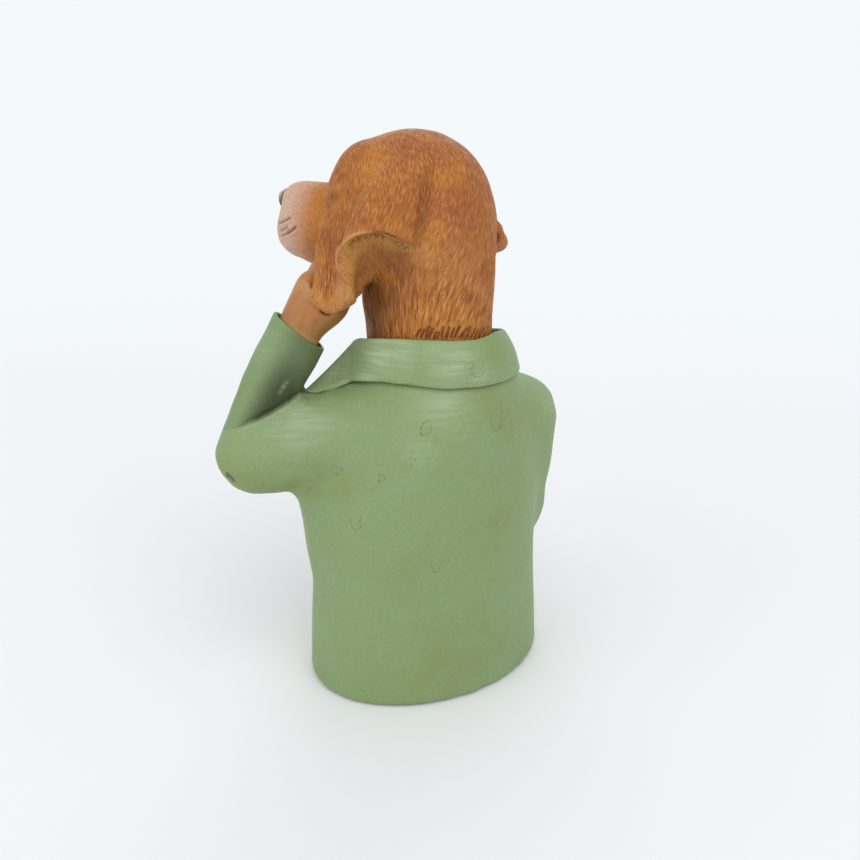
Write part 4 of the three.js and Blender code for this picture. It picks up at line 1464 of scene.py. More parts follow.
@dataclass
class Jacket:
    """The jacket body with both sleeves as one skin, and the lips of its cuffs."""

    camera: PhotoCamera
    paint: JacketPaint = field(default_factory=JacketPaint)
    grain: float = 1.55
    rubs: int = 34
    raised: Cuff = Cuff((50.6, -17.2, 160.6), (80.2, -15.9, 112), slant=(0.13, -0.22, 0))
    resting: Cuff = Cuff((-3, -48, 62), (-26, -43, 58))
    fillers: tuple[tuple[Spot, Spot, tuple[float, float]], ...] = (
        ((0, 0, 6.2), (-0.5, 0, 54), (50.0, 36.5)),
        ((-1, -1, 50), (-2, -1.5, 108), (44.5, 33.5)),
        ((*NECK, 104), (*NECK, 146.8), (24.0, 24.0)),
    )
    crease: Pixels = (
        (231, 430), (245, 425), (258, 420), (270, 414), (280, 408), (290, 401), (299, 394),
    )
    crease_depth: float = 4.2
    crook: Pixel = (270, 400)
    chip: Pixel = (230, 477)
    swells: Patches = (
        (551, 418, 22, 1.6), (257, 352, 16, 1.0), (243, 385, 14, 0.8), (215, 452, 12, -0.6),
        (276, 486, 13, 2.0), (548, 468, 17, 2.0),
    )
    front_edge: tuple[Spot, ...] = (
        (-9.5, 0, 8), (-10, 0, 34), (-11, 0, 82), (-12, 0, 104), (-13, 0, 124),
    )
    loops: tuple[Loop, ...] = (
        (427, 428, 2.4, True), (337, 470, 2.2, True), (380, 478, 1.4, True), (356, 525, 2.0, False),
        (436, 568, 1.8, False), (493, 522, 1.7, False), (411, 461, 1.5, True), (497, 424, 2.9, False),
    )
    # Painted highlights where light falls on the jacket, with three small pale scuffs on the sleeve.
    highlights: Patches = (
        (300, 420, 13, 0.4), (445, 402, 13, 0.35), (286.5, 382.5, 0.8, 0.6), (283.5, 387, 0.9, 0.7),
        (280.5, 392, 0.8, 0.6), (262, 340, 9, 0.25), (420, 448, 8, 0.2), (548, 400, 9, 0.25),
    )

    def shell(self) -> Skin:
        """The fused and rubbed skin of body and sleeves.

        Returns:
            The skin, before it is dressed.
        """
        parts = [
            Solid.of_node("jacket"),
            Solid.of_node("left_forearm_sleeve"),
            *(Solid.column(*filler) for filler in self.fillers),
            self.raised.plug(),
            self.resting.plug(),
        ]
        skin = Skin.cast(parts, self.grain).soften(6)
        fold, _ = skin.near(View(self.camera, skin).line(self.crease), 16.0)
        return skin.soften(self.rubs - 6, smooth(fold, 5.0, 15.0)).refined()

    def fold_arm(self, skin: Skin) -> None:
        """Sinks the raised forearm behind the edge of the upper arm and paints shade on it there.

        Args:
            skin: The jacket with its sleeves.
        """
        across, down = np.array(self.crease).T
        near, _ = skin.near(View(self.camera, skin).line(self.crease), 15.0)
        spots = self.camera.seen(skin.points)
        above = (np.interp(spots[:, 0], across, down) - spots[:, 1]) * 0.9
        away = self.camera.ray(self.crook)
        ahead = skin.normals() @ -away
        here = smooth(spots[:, 0], across[0] - 4, across[0] + 30) * smooth(ahead, -0.3, 0.1)
        here = here * (1 - smooth(spots[:, 0], across[-1] - 6, across[-1] + 4))
        sunk = here * smooth(above, -2.0, 1.5) * np.exp(-np.clip(above, 0, None) / 9.0)
        sunk = sunk * (1 - smooth(near, 9.0, 15.0))
        skin.points = skin.points + sunk[:, None] * self.crease_depth * away
        # Painted shade on the forearm below the fold, deepest near the crook.
        dim = self.arm_shade(skin.points) * smooth(above, -1.0, 2.0)
        deep = here * np.exp(-np.clip(above, 0, None) / 16.0) * smooth(spots[:, 0], 236, 268)
        skin.add_note("painted_shade", np.maximum(dim, deep * smooth(above, -1.0, 2.0) * (dim > 0)))

    def arm_shade(self, points: Array) -> Array:
        """Painted shade on the raised sleeve, darker on the side towards the body.

        Args:
            points: Places on the sleeve or its cuff.

        Returns:
            0 for the plain paint, 1 for the darkest.
        """
        axis = self.raised.axis()
        rest = points - np.asarray(self.raised.mouth)
        along = -(rest @ axis)
        side = (rest + along[:, None] * axis) @ self.camera.axes()[:, 0] / self.raised.radius
        arm = (1 - smooth(np.abs(side), 1.3, 1.6)) * smooth(along, -8.0, 0.0)
        arm = arm * (1 - smooth(along, 48.0, 58.0))
        return arm * (0.18 + (0.44 + 0.56 * smooth(along, 8.0, 30.0)) * smooth(side, -0.5, 0.4))

    def dress_front(self, skin: Skin) -> None:
        """Cuts the line of the jacket's front edge beside the buttons and paints shade along it.

        Args:
            skin: The jacket with its sleeves.
        """
        hits = skin.hits()
        for spots in (self.front_edge[:2], self.front_edge[2:]):
            line = curve_through(spots, 30)
            line[:, 1] = [hits.ray_cast(Vector((x, -200, z)), Vector((0, 1, 0)))[0][1]
                          for x, _, z in line]
            gap, share = skin.near(line, 4.0)
            ends = smooth(share, 0.0, 0.05)
            skin.push(-0.8 * bell(gap, 0.8) * ends)
            # Painted shade along the cut line.
            skin.add_note("painted_shade", 0.6 * bell(gap, 0.7) * ends)

    def build(self) -> Skin:
        """Makes the jacket and gives its surface.

        Returns:
            The jacket's surface, for the collar to lie on.
        """
        skin = self.shell()
        for swell in self.swells:
            skin.push(View(self.camera, skin).patch(skin, swell))
        self.raised.trim(skin)
        self.fold_arm(skin)
        self.dress_front(skin)
        view = View(self.camera, skin)
        hollow = skin.bend()
        # Painted shade in the hollows.
        skin.add_note("painted_shade", smooth(hollow, 0.03, 0.2) * 0.5)
        # Painted highlights on the lit places, with the scuffs, which also lift the painted shade.
        for highlight in self.highlights:
            patch = view.patch(skin, highlight)
            skin.add_note("wear_and_highlight", patch)
            skin.notes["painted_shade"] *= 1 - patch
        # Pale wear on the ridges, with painted highlight.
        skin.add_note("wear_and_highlight", smooth(-hollow, 0.09, 0.3) * 0.22)
        marks = [self.mark(view, loop) for loop in self.loops]
        material = self.paint.mix("sage_jacket", marks, view.at(self.chip))
        skin.build("jacket_and_sleeves", material, Slot.JACKET, "jacket", "left_forearm_sleeve")
        plain = self.paint.mix("sage_cuffs")
        self.raised.build("raised_cuff_lip", plain, self.arm_shade)
        self.resting.build("resting_cuff_lip", plain)
        return skin

    @staticmethod
    def mark(view: View, loop: Loop) -> Mark:
        """Place and directions of a scratched loop.

        Args:
            view: The jacket or the collar as the photograph shows it.
            loop: The loop in the picture.

        Returns:
            The loop on the cloth.
        """
        x, y, radius, ring = loop
        here = view.at((x, y))
        right = unit(view.at((x + 3, y)) - view.at((x - 3, y)))
        down = view.at((x, y + 3)) - view.at((x, y - 3))
        down = unit(down - right * float(down @ right))
        return here, right, down, radius, ring


@dataclass
class Collar:
    """The turned-down collar: a band round the neck that falls over the shoulders."""

    camera: PhotoCamera
    paint: JacketPaint = field(default_factory=JacketPaint)
    neck: tuple[float, float] = NECK
    inside: float = 28.7
    rim_back: float = 160.5
    rim_front: float = 149.0
    lip_back: float = 141.5
    lip_front: float = 124.0
    left_rise: float = 4.0
    standoff: float = 4.5
    opening: float = 9.0
    point_angle: float = 26.0
    cloth: float = 2.3
    lift: float = 0.7
    flare: float = 3.4
    flare_angle: float = 108.0
    steps: int = 220
    rim_seen: Pixels = (
        (369, 336.5), (385, 336.8), (400, 337.5), (430, 339.5), (455, 340), (475, 339), (488, 335),
        (494, 331),
    )
    lip_seen: Pixels = (
        (307, 392), (317, 389), (328, 384), (345, 379.6), (360, 377.8), (375, 378.8), (400, 381.6),
        (425, 384.5), (447, 386.5), (470, 385), (490, 382), (505, 377), (512, 373),
    )
    # Painted highlights where light falls on the collar, mixed with pale rubbed wear.
    highlights: Patches = (
        (378, 352, 9, 0.75), (398, 349, 8, 0.5), (455, 362, 10, 0.5), (440, 352, 8, 0.35),
        (345, 365, 8, 0.3), (478, 375, 7, 0.4), (366, 380, 6, 0.5), (333, 367, 8, 0.3),
    )
    loops: tuple[Loop, ...] = ((479, 371, 2.3, False), (470, 366, 1.4, True))

    def spot(self, angle: float, radius: float, height: float) -> Array:
        """A place round the neck; angle 0 is at the back."""
        x, y = self.neck
        return np.array((x + radius * math.sin(angle), y + radius * math.cos(angle), height))

    def bore(self, angle: float) -> float:
        """Inner radius of the rim."""
        return self.inside + self.standoff * max(0.0, math.cos(angle - math.radians(120))) ** 2

    def rim_height(self, angle: float) -> float:
        """Height of the rim, without what the photograph adds."""
        return self.rim_front + (self.rim_back - self.rim_front) * (1 + math.cos(angle)) / 2

    def lip_height(self, angle: float) -> float:
        """Height of the lip, without what the photograph adds."""
        front = float(smooth(abs(angle), math.pi / 4, 6 * math.pi / 7))
        left = self.left_rise * max(0.0, math.sin(angle))
        return self.lip_back + left - (self.lip_back - self.lip_front) * front

    def angle_of(self, spot: Array) -> float:
        """Angle round the neck at which a place lies."""
        return math.atan2(spot[0] - self.neck[0], spot[1] - self.neck[1])

    def on_rim(self, pixel: Pixel) -> Array:
        """The near place behind a pixel on the upright round of the rim.

        Args:
            pixel: Where the rim is seen.

        Returns:
            The place.
        """
        place, ray = np.asarray(self.camera.place), self.camera.ray(pixel)
        rest, flat = place[:2] - np.asarray(self.neck), ray[:2]
        reach = self.inside + self.cloth / 2
        middle = -(rest @ flat) / (flat @ flat)
        half = max(0.0, middle**2 - (rest @ rest - reach**2) / (flat @ flat)) ** 0.5
        return place + ray * (middle - half)

    def lifts(self, jacket: Skin) -> tuple[Array, Array]:
        """What the photograph adds to the heights of rim and lip.

        Args:
            jacket: The jacket that the lip lies on.

        Returns:
            Two tables with a row of angles and a row of heights.
        """
        view = View(self.camera, jacket)
        tables = []
        for spots, height in (([self.on_rim(pixel) for pixel in self.rim_seen], self.rim_height),
                              ([view.at(pixel) for pixel in self.lip_seen], self.lip_height)):
            rows = sorted((self.angle_of(spot), spot[2] - height(self.angle_of(spot))) for spot in spots)
            tables.append(np.array([(rows[0][0] - 0.5, 0.0), *rows, (rows[-1][0] + 0.5, 0.0)]).T)
        return tables[0], tables[1]

    def section(self, turn: float, body: BVHTree, lifts: tuple[Array, Array]) -> Array:
        """Outline of the collar at one place round the neck.

        Args:
            turn: Place from -1 at the right point to 1 at the left one.
            body: The jacket that the lip lies on.
            lifts: What is added to the heights of rim and lip.

        Returns:
            Points of the closed outline.
        """
        rim_turn = turn * (math.pi - math.radians(self.opening))
        lip_turn = rim_turn - turn * math.radians(self.point_angle) * abs(turn)
        inside = self.bore(rim_turn)
        rim = self.rim_height(rim_turn) + float(np.interp(rim_turn, *lifts[0]))
        lip = self.lip_height(lip_turn) + float(np.interp(lip_turn, *lifts[1]))
        hollow = 1.6 * max(0.0, math.sin(lip_turn - math.radians(15)))
        middle = Vector((*self.neck, lip))
        hit = body.ray_cast(middle, Vector((math.sin(lip_turn), math.cos(lip_turn), 0.0)))[0]
        stand = self.flare * math.exp(-((math.degrees(lip_turn) - self.flare_angle) / 26.0) ** 2)
        reach = (hit - middle).length + self.lift + self.cloth + stand
        fall = np.linspace(0, 1, 26)

        def layer(depth: float) -> Array:
            """A line from the rim to the lip at some depth under the outside.

            Args:
                depth: Depth in millimetres.

            Returns:
                Points along the line.
            """
            rows = []
            for t in fall:
                angle = rim_turn + (lip_turn - rim_turn) * t
                arch = (1.0 - hollow) * math.sin(math.pi * t)
                radius = inside + self.cloth + (reach - inside - self.cloth) * t + arch
                rows.append(self.spot(angle, radius, rim - 0.9 + (lip - rim + 0.9) * t + arch))
            line = np.array(rows)
            along = unit(np.gradient(line, axis=0))
            out = np.array((math.sin(lip_turn), math.cos(lip_turn), 0.0))
            return line - depth * unit(out - along * (along @ out)[:, None])

        outer, inner = layer(0.0), layer(self.cloth)
        rim_roll = [self.spot(rim_turn, inside + 0.75 * self.cloth, rim - 0.2),
                    self.spot(rim_turn, inside + 0.35 * self.cloth, rim - 0.15)]
        edge = 0.35 * (outer[-1] - outer[-2]) / np.linalg.norm(outer[-1] - outer[-2])
        lip_roll = [outer[-1] * 0.7 + inner[-1] * 0.3 + edge * 1.6,
                    outer[-1] * 0.3 + inner[-1] * 0.7 + edge * 1.2]
        return np.vstack([rim_roll[::-1], outer, lip_roll, inner[::-1]])

    def build(self, jacket: Skin) -> None:
        """Makes the collar.

        Args:
            jacket: The jacket that it lies on.
        """
        body = jacket.hits()
        lifts = self.lifts(jacket)
        rings = np.array([self.section(turn, body, lifts) for turn in np.linspace(-1, 1, self.steps)])
        count, size = rings.shape[:2]
        faces = bands(count, size, flip=True)
        for a, b in ((0, 1), (count - 1, -1)):
            for n in range(size // 2 - 1):
                quad = [a * size + n, a * size + n + 1, a * size + size - 2 - n, a * size + size - 1 - n]
                faces.append(quad[::b])
        skin = Skin(rings.reshape(-1, 3), np.array(faces)).soften(6).refined()
        view = View(self.camera, skin)
        for highlight in self.highlights:
            skin.add_note("wear_and_highlight", view.patch(skin, highlight))
        # Painted highlight with pale wear on the ridges, painted shade in the valleys.
        bend = skin.bend()
        skin.add_note("wear_and_highlight", smooth(-bend, 0.12, 0.4) * 0.45)
        skin.add_note("painted_shade", smooth(bend, 0.05, 0.25) * 0.6)
        material = self.paint.mix("sage_collar", [Jacket.mark(view, loop) for loop in self.loops])
        skin.build("turned_collar", material, Slot.JACKET, "collar")


@dataclass
class Head:
    """Skull, muzzle, neck and both ears as one carved skin."""

    camera: PhotoCamera
    paint: FurPaint = field(default_factory=FurPaint)
    grain: float = 1.02
    rubs: int = 34
    turn: float = HEAD_TURN
    neck: tuple[float, float] = NECK
    floor: float = 148.0
    mouth_middle: Spot = (0, -51.5, 193)
    mouth_reach: float = 27.0
    mouth_sag: float = 2.5
    tuck: float = 2.4
    neck_draw: float = 1.7
    ear_root_depth: float = 1.9
    ear_root_width: float = 2.2
    lead_reach: float = 11.0
    neck_strokes: Strokes = Strokes(7.0, 0.36, 0.42, 1.1)
    skull_strokes: Strokes = Strokes(5.0, 0.34, 0.2, 1.3)
    muzzle_strokes: Strokes = Strokes(2.2, 0.36, 0.14, 1.1, 22)
    fringe_strokes: Strokes = Strokes(3.0, 0.34, 0.2, 0.9)
    lining_strokes: Strokes = Strokes(5.0, 0.34, 0.16, 1.0, 8)
    arch_ticks: Ticks = Ticks(4.0, 7.0, 0.42, 0.4, 0.9)
    bristle_ticks: Ticks = Ticks(7.0, 12.0, 0.52, 0.7, 1.5)
    fringe_ticks: Ticks = Ticks(4.0, 7.0, 0.34, 0.35, 0.7)
    arch: tuple[Spot, ...] = (
        (24, 10, 193), (40, -1, 203), (45, -11, 199), (44.5, -17, 190), (39, -16, 174),
    )
    lobe: tuple[Spot, ...] = ((39, -16, 174), (41.5, -26, 168.5), (42.5, -33.5, 175), (30, -37, 190))
    foot: Pixels = (
        (414, 256), (402, 258), (392, 261), (384, 266), (377, 273), (371, 284), (365, 298),
    )
    ear_groove: Pixels = (
        (433, 158), (430, 172), (427, 188), (424, 206), (421, 226), (417, 246),
    )
    drape: tuple[tuple[Pixel, Pixel, Pixel], ...] = (
        ((322, 264), (332, 266), (343, 270)), ((315, 278), (331, 280), (349, 283)),
        ((310, 290), (331, 292), (355, 293)), ((308, 298), (331, 302), (357, 300)),
        ((312, 304.5), (331, 309), (353, 305)), ((318, 308.5), (331, 312), (346, 310)),
    )
    bowl_middle: Pixel = (378, 258)
    bowl: Pixels = (
        (415, 255), (405, 244), (390, 237), (375, 233), (360, 234.5), (350, 239), (342, 247), (338, 258),
        (340, 268), (345, 276), (349, 284), (352.5, 292), (355, 299), (361, 291), (367, 281), (375, 273),
        (385, 267), (396, 263), (407, 260),
    )
    lip_count: int = 11
    swells: Patches = (
        (312, 272, 6, -2.2), (351, 158, 10, 1.7), (367, 300, 8, 1.5), (289, 191, 6, 1.3),
    )
    bristle_row: tuple[Pixel, Pixel] = ((416, 338.5), (484, 338.5))
    bristles: int = 17
    bristle_lean: Pixel = (4.0, -9.0)
    fringe_row: Pixels = (
        (309, 298), (312, 303.5), (318, 307.5), (331, 311), (345, 309.5), (352, 305),
    )
    fringe_middle: Pixel = (332, 286)
    far_tip: Pixels = ((498, 233), (501, 242), (497.5, 251))
    whisker_lines: tuple[Pixels, ...] = (
        ((278.3, 224.2), (285, 220.5), (293, 216.5)),
        ((280, 236.6), (288, 232.8), (293.5, 229), (298, 225)),
        ((279.4, 231.2), (284, 229.5), (289, 226)),
    )
    dark_places: Patches = (
        (380, 300, 11, 0.7), (374, 318, 10, 0.74), (371, 283, 7, 0.6), (400, 257, 5, 0.5),
        (390, 263, 5, 0.5), (405, 275, 8, 0.3), (330, 200, 4, 0.25), (326, 240, 4, 0.3),
    )
    warm_places: Patches = (
        (372, 175, 9, 0.8), (325, 303, 7, 0.4), (340, 300, 6, 0.3), (460, 320, 16, 0.5),
        (400, 175, 8, 0.3),
    )
    pale_places: Patches = ((452, 268, 15, 0.16), (440, 240, 12, 0.1))
    leads: tuple[Lead, ...] = (
        (409, 142, -0.1, 1), (373, 170, -0.15, 1), (344, 192, -0.35, 1), (392, 170, 0.1, 1),
        (410, 192, 0.05, 1), (423, 170, 0.5, 1), (430, 209, -0.5, 1), (439, 220, -0.6, 1),
        (449, 200, -0.35, 1), (459, 192, -0.1, 1), (473, 206, -0.1, 1), (438, 258, -0.75, 1),
        (459, 256, -0.7, 1), (473, 285, -0.45, 1), (452, 285, -0.55, 1), (423, 285, -0.35, 1),
        (416, 307, -0.1, 1), (399, 299, 0.15, 1), (380, 314, 0.1, 1), (373, 292, 0.3, 1),
        (459, 318, -0.6, 1), (480, 314, -0.5, 1), (488, 220, 0.05, 1), (480, 177, 0.15, 1),
        (352, 215, -0.15, 1), (372, 215, 0.0, 1), (395, 215, 0.1, 1), (335, 265, -0.05, 1),
        (340, 290, 0.05, 1), (320, 292, -0.1, 1), (286, 206, 0.5, 1), (290, 232, 0.55, 1),
        (302, 222, 0.45, 1), (292, 247, 0.6, 1), (308, 202, 0.4, 1),
    )

    def to_body(self, spots: Sequence[Spot]) -> Array:
        """Places in the head's own frame, in the part's frame."""
        x, y, z = np.asarray(spots, float).T
        c, s = math.cos(math.radians(self.turn)), math.sin(math.radians(self.turn))
        return np.stack([self.neck[0] + c * x - s * y, self.neck[1] + s * x + c * y, z], 1)

    def to_head(self, points: Array) -> Array:
        """Places in the part's frame, in the head's own frame."""
        x, y = points[:, 0] - self.neck[0], points[:, 1] - self.neck[1]
        c, s = math.cos(math.radians(self.turn)), math.sin(math.radians(self.turn))
        return np.stack([c * x + s * y, c * y - s * x, points[:, 2]], 1)

    def rim(self, spots: Sequence[Spot], steps: int = 30) -> Array:
        """A soft line through places in the head's own frame."""
        return curve_through([tuple(spot) for spot in self.to_body(spots)], steps)

    def lining(self, skull: Skin) -> tuple[Solid, Array]:
        """The hollow web between the lifted ear's rim and the neck.

        Args:
            skull: The head without its ears.

        Returns:
            The web as a solid, and the points of its hollow side.
        """
        rim = self.rim(self.arch, 10)
        foot = View(self.camera, skull).line(self.foot, 10)
        share = np.linspace(0, 1, len(rim))
        marks = np.linspace(0, 1, len(foot))
        foot = np.stack([np.interp(share, marks, foot[:, axis]) for axis in range(3)], 1)
        foot = foot + (rim[-1] - foot) * smooth(share, 0.7, 1.0)[:, None]
        away = unit(rim.mean(0) - np.asarray(self.camera.place))
        low = smooth(share, 0.35, 0.8)[:, None]
        rows = []
        for v in np.linspace(0, 1, 18):
            sag = (6.0 - 3.0 * low) * math.sin(math.pi * v) + 1.2 - 3.4 * low * smooth(v, 0.0, 0.3)
            rows.append(rim + (foot - rim) * v + away * sag)
        grid = np.stack(rows)
        return plate_between(grid, grid + away * 2.5), grid

    def shell(self) -> tuple[Skin, Array]:
        """The fused and rubbed skin, and the points of the ear's lining.

        Returns:
            The skin, and the grid of the lining.
        """
        head = Solid.of_node("head", self.floor)
        skull = Skin.cast([head], 3.0)
        web, grid = self.lining(skull)
        ears = [Solid.of_node("left_ear"), Solid.of_node("right_ear")]
        rough = View(self.camera, Skin.cast([head, *ears, Solid.of_node("left_paw")], 1.6))
        tip = rough.line(self.far_tip)
        bead = tube(tip, 0.8 + 2.3 * np.sin(np.linspace(0, math.pi, len(tip))))
        parts = [head, *ears, web, self.draped_edge(rough), bead]
        return Skin.cast(parts, self.grain).soften(self.rubs).refined(), grid

    def draped_edge(self, rough: View) -> Solid:
        """The lower edge of the lifted ear where it hangs over the paw.

        Args:
            rough: Head, ears and paw as the photograph shows them.

        Returns:
            A thin flap.
        """
        rows = np.array([pixels_through(row, 9) for row in self.drape])
        pixels = np.stack([pixels_through(rows[:, n], 5) for n in range(rows.shape[1])], 1)
        place = np.asarray(self.camera.place)
        rays = np.array([[self.camera.ray(tuple(pixel)) for pixel in row] for row in pixels])
        seen = np.array([[rough.at(tuple(pixel)) for pixel in row] for row in pixels])
        depth = np.linalg.norm(seen - place, axis=2)
        for _ in range(8):
            wide = np.pad(depth, 1, mode="edge")
            mean = (wide[2:, 1:-1] + wide[:-2, 1:-1] + wide[1:-1, 2:] + wide[1:-1, :-2]) / 4
            depth = np.minimum(depth + 0.15, mean)
        down = np.linspace(0, 1, pixels.shape[0])[:, None]
        over = np.linspace(0, 1, pixels.shape[1])[None, :]
        depth = depth - 2.6 * smooth(down, 0.0, 0.5) * smooth(over, -0.3, 0.2) + 0.5
        front = place + rays * depth[..., None]
        return plate_between(front, front + rays * 3.2)

    def base_flow(self, skin: Skin) -> Array:
        """Hair from the nose back over the skull and down the neck.

        Args:
            skin: The head.

        Returns:
            The hair's direction at each point.
        """
        own = self.to_head(skin.points)
        back = smooth(own[:, 2], 190, 235)[:, None]
        muzzle = smooth(-own[:, 1], 34, 50)[:, None]
        wish = back * np.array((0.0, 1.0, -0.5)) + (1 - back) * np.array((0.0, 0.25, -1.0))
        wish = wish * (1 - muzzle) + muzzle * np.array((0.0, 1.0, -0.35))
        c, s = math.cos(math.radians(self.turn)), math.sin(math.radians(self.turn))
        wish = np.stack([c * wish[:, 0] - s * wish[:, 1], s * wish[:, 0] + c * wish[:, 1], wish[:, 2]], 1)
        return flow_along(skin, wish)

    def comb(self, skin: Skin, flow: Array) -> None:
        """Notes how far each point lies across and along the hair, apart for the near and the far half.

        Args:
            skin: The head.
            flow: The hair's direction at each point.
        """
        right, back = self.camera.axes()[:, 0], self.camera.axes()[:, 2]
        normals = skin.normals()
        faces = (normals * unit(np.asarray(self.camera.place) - skin.points)).sum(1)
        near = faces > 0
        start = skin.points @ right * np.where(near, 1, -1)
        skin.notes["across"] = skin.combed(np.cross(normals, flow), start, near)
        skin.notes["along"] = skin.combed(flow, -skin.points[:, 2] - skin.points @ back * 0.2, near)
        skin.notes["combed"] = smooth(np.abs(faces), 0.03, 0.12)

    def mouth_line(self, skin: Skin) -> Array:
        """The line of the closed mouth on the muzzle.

        Args:
            skin: The head.

        Returns:
            Points along the line.
        """
        hits = skin.hits()
        spots = []
        for angle in np.radians(np.linspace(-self.mouth_reach, self.mouth_reach, 25)):
            out = np.array((math.sin(angle), -math.cos(angle), 0.0))
            share = abs(angle) / math.radians(self.mouth_reach)
            rise = self.mouth_sag * (0.6 - 3 * share + 3.4 * share**2)
            middle = np.array(self.mouth_middle) + np.array((0, 0, rise))
            far, near = self.to_body([tuple(middle + 70 * out), tuple(middle)])
            spot = hits.ray_cast(Vector(far), Vector(near - far))[0]
            if spot is not None:
                spots.append(tuple(spot))
        return curve_through(spots, 8)

    def dress_face(self, skin: Skin) -> None:
        """Raises the eyelids and cuts the mouth.

        Args:
            skin: The head.
        """
        for node in ("left_eye", "right_eye"):
            rest = skin.points - middle_of(node)
            gap = np.linalg.norm(rest, axis=1)
            lid = bell(gap - EYE_RADIUS - 1.0, 1.2) * smooth(rest[:, 2], 0.0, 4.0)
            skin.push(0.8 * bell(gap - EYE_RADIUS - 1.1, 0.9) + 0.7 * lid)
            skin.points = skin.points - lid[:, None] * np.array((0.0, 0.0, 1.6))
            skin.add_note("shade", 0.8 * (1 - smooth(gap, EYE_RADIUS + 0.2, EYE_RADIUS + 1.2)))
        mouth = self.mouth_line(skin)
        middle = mouth[len(mouth) // 2]
        split = np.linspace(middle, middle_of("nose") - np.array((0.0, 0.0, 5.0)), 20)
        for line, depth in ((mouth, 1.1), (split, 0.8)):
            gap, share = skin.near(line, 4.0)
            ends = smooth(share, 0.0, 0.08) * (1 - smooth(share, 0.92, 1.0))
            skin.push(-depth * bell(gap, 0.8) * ends)
            skin.add_note("shade", 0.7 * depth * bell(gap, 0.7) * ends)

    def bowl_share(self, skin: Skin, view: View) -> Array:
        """How much of each point lies in the hollow of the lifted ear.

        Args:
            skin: The head.
            view: The head as the photograph shows it.

        Returns:
            1 in the hollow, 0 elsewhere.
        """
        line = pixels_through((*self.bowl, self.bowl[0]), 8)
        spots = self.camera.seen(skin.points)
        share = np.zeros(len(spots))
        near = np.where((np.abs(spots - line.mean(0)) < np.ptp(line, axis=0) / 2 + 4).all(1))[0]
        for n in near:
            x, y = spots[n]
            gap = np.hypot(line[:, 0] - x, line[:, 1] - y).min()
            rises = (line[:-1, 1] > y) != (line[1:, 1] > y)
            steps = line[1:] - line[:-1]
            cross = line[:-1, 0] + (y - line[:-1, 1]) * steps[:, 0] / np.where(rises, steps[:, 1], 1)
            inside = np.count_nonzero(rises & (cross > x)) % 2 == 1
            deep = np.linalg.norm(skin.points[n] - view.at((x, y))) < 1.6
            share[n] = smooth(gap if inside else -gap, -1.0, 1.2) * deep
        return share

    def dress_ear(self, skin: Skin, view: View, grid: Array, flow: Array) -> Array:
        """Gives the lifted ear its pale lip, a painted highlight along the rim, and its lining.

        Args:
            skin: The head.
            view: The head as the photograph shows it.
            grid: Points of the lining, from the rim to the neck.
            flow: Hair direction, changed inside the lining.

        Returns:
            How much of each point lies on the lining.
        """
        tree = search_tree(grid.reshape(-1, 3))
        found = [tree.find(point)[1] for point in skin.points.tolist()]
        row, column = np.divmod(np.array(found), grid.shape[1])
        lining = self.bowl_share(skin, view)
        skin.soften(90, smooth(lining, 0.6, 1.0), (0.5,))
        ahead = unit(grid[-1] - grid[0])[column]
        inside = lining > 0.5
        flow[inside] = flow_along(skin, ahead)[inside]
        lip = pixels_through(self.bowl[:self.lip_count], 6)
        middle = np.asarray(self.bowl_middle)
        rim = lip + 1.2 * unit(lip - middle)
        edge, share = skin.near(view.line([tuple(pixel) for pixel in rim], 2), 5.0)
        pale = bell(edge, 0.7) * smooth(share, 0.0, 0.1) * (1 - smooth(share, 0.9, 1.0))
        # Painted highlight along the ear's lit rim, over a raised bead.
        skin.push(0.35 * pale)
        skin.add_note("lip", 0.6 * pale)
        inner = smooth(lining, 0.5, 1.0)
        self.arch_ticks.cut(skin, view, lip[4:-6], middle, SEED + 5, inner)
        lines = self.lining_strokes.carve(skin, flow, lining + 1e-6, SEED + 6)
        skin.add_note("groove", 0.55 * lines)
        deep = smooth(row.astype(float), 4, 11)
        skin.add_note("lining", 0.9 * lining * (1 - 0.6 * deep))
        skin.add_note("shade", 0.3 * lining * deep)
        return lining

    def shape(self, skin: Skin, own: Array) -> View:
        """Draws the neck in, swells the fuller places, tucks the far ear and sinks the near ear's root.

        Args:
            skin: The head.
            own: Its points in the head's own frame.

        Returns:
            The head as the photograph shows it.
        """
        side = (skin.points - np.array((*self.neck, 0.0))) @ self.camera.axes()[:, 0]
        view = View(self.camera, skin)
        skin.push(-self.neck_draw * (1 - smooth(own[:, 2], 158, 186)) * smooth(side, 8, 25))
        for swell in self.swells:
            skin.push(view.patch(skin, swell))
        view = View(self.camera, skin)
        far = smooth(-own[:, 0], 22, 29)
        tucked = far * smooth(own[:, 2], 198, 204) * (1 - smooth(own[:, 2], 218, 230))
        skin.points = skin.points + tucked[:, None] * self.tuck * ahead_of(self.turn)
        gap, share = skin.near(view.line(self.ear_groove), 8.0)
        valley = bell(gap, self.ear_root_width) * smooth(share, 0.0, 0.2)
        skin.push(-self.ear_root_depth * valley)
        skin.add_note("shade", 0.24 * valley)
        return view

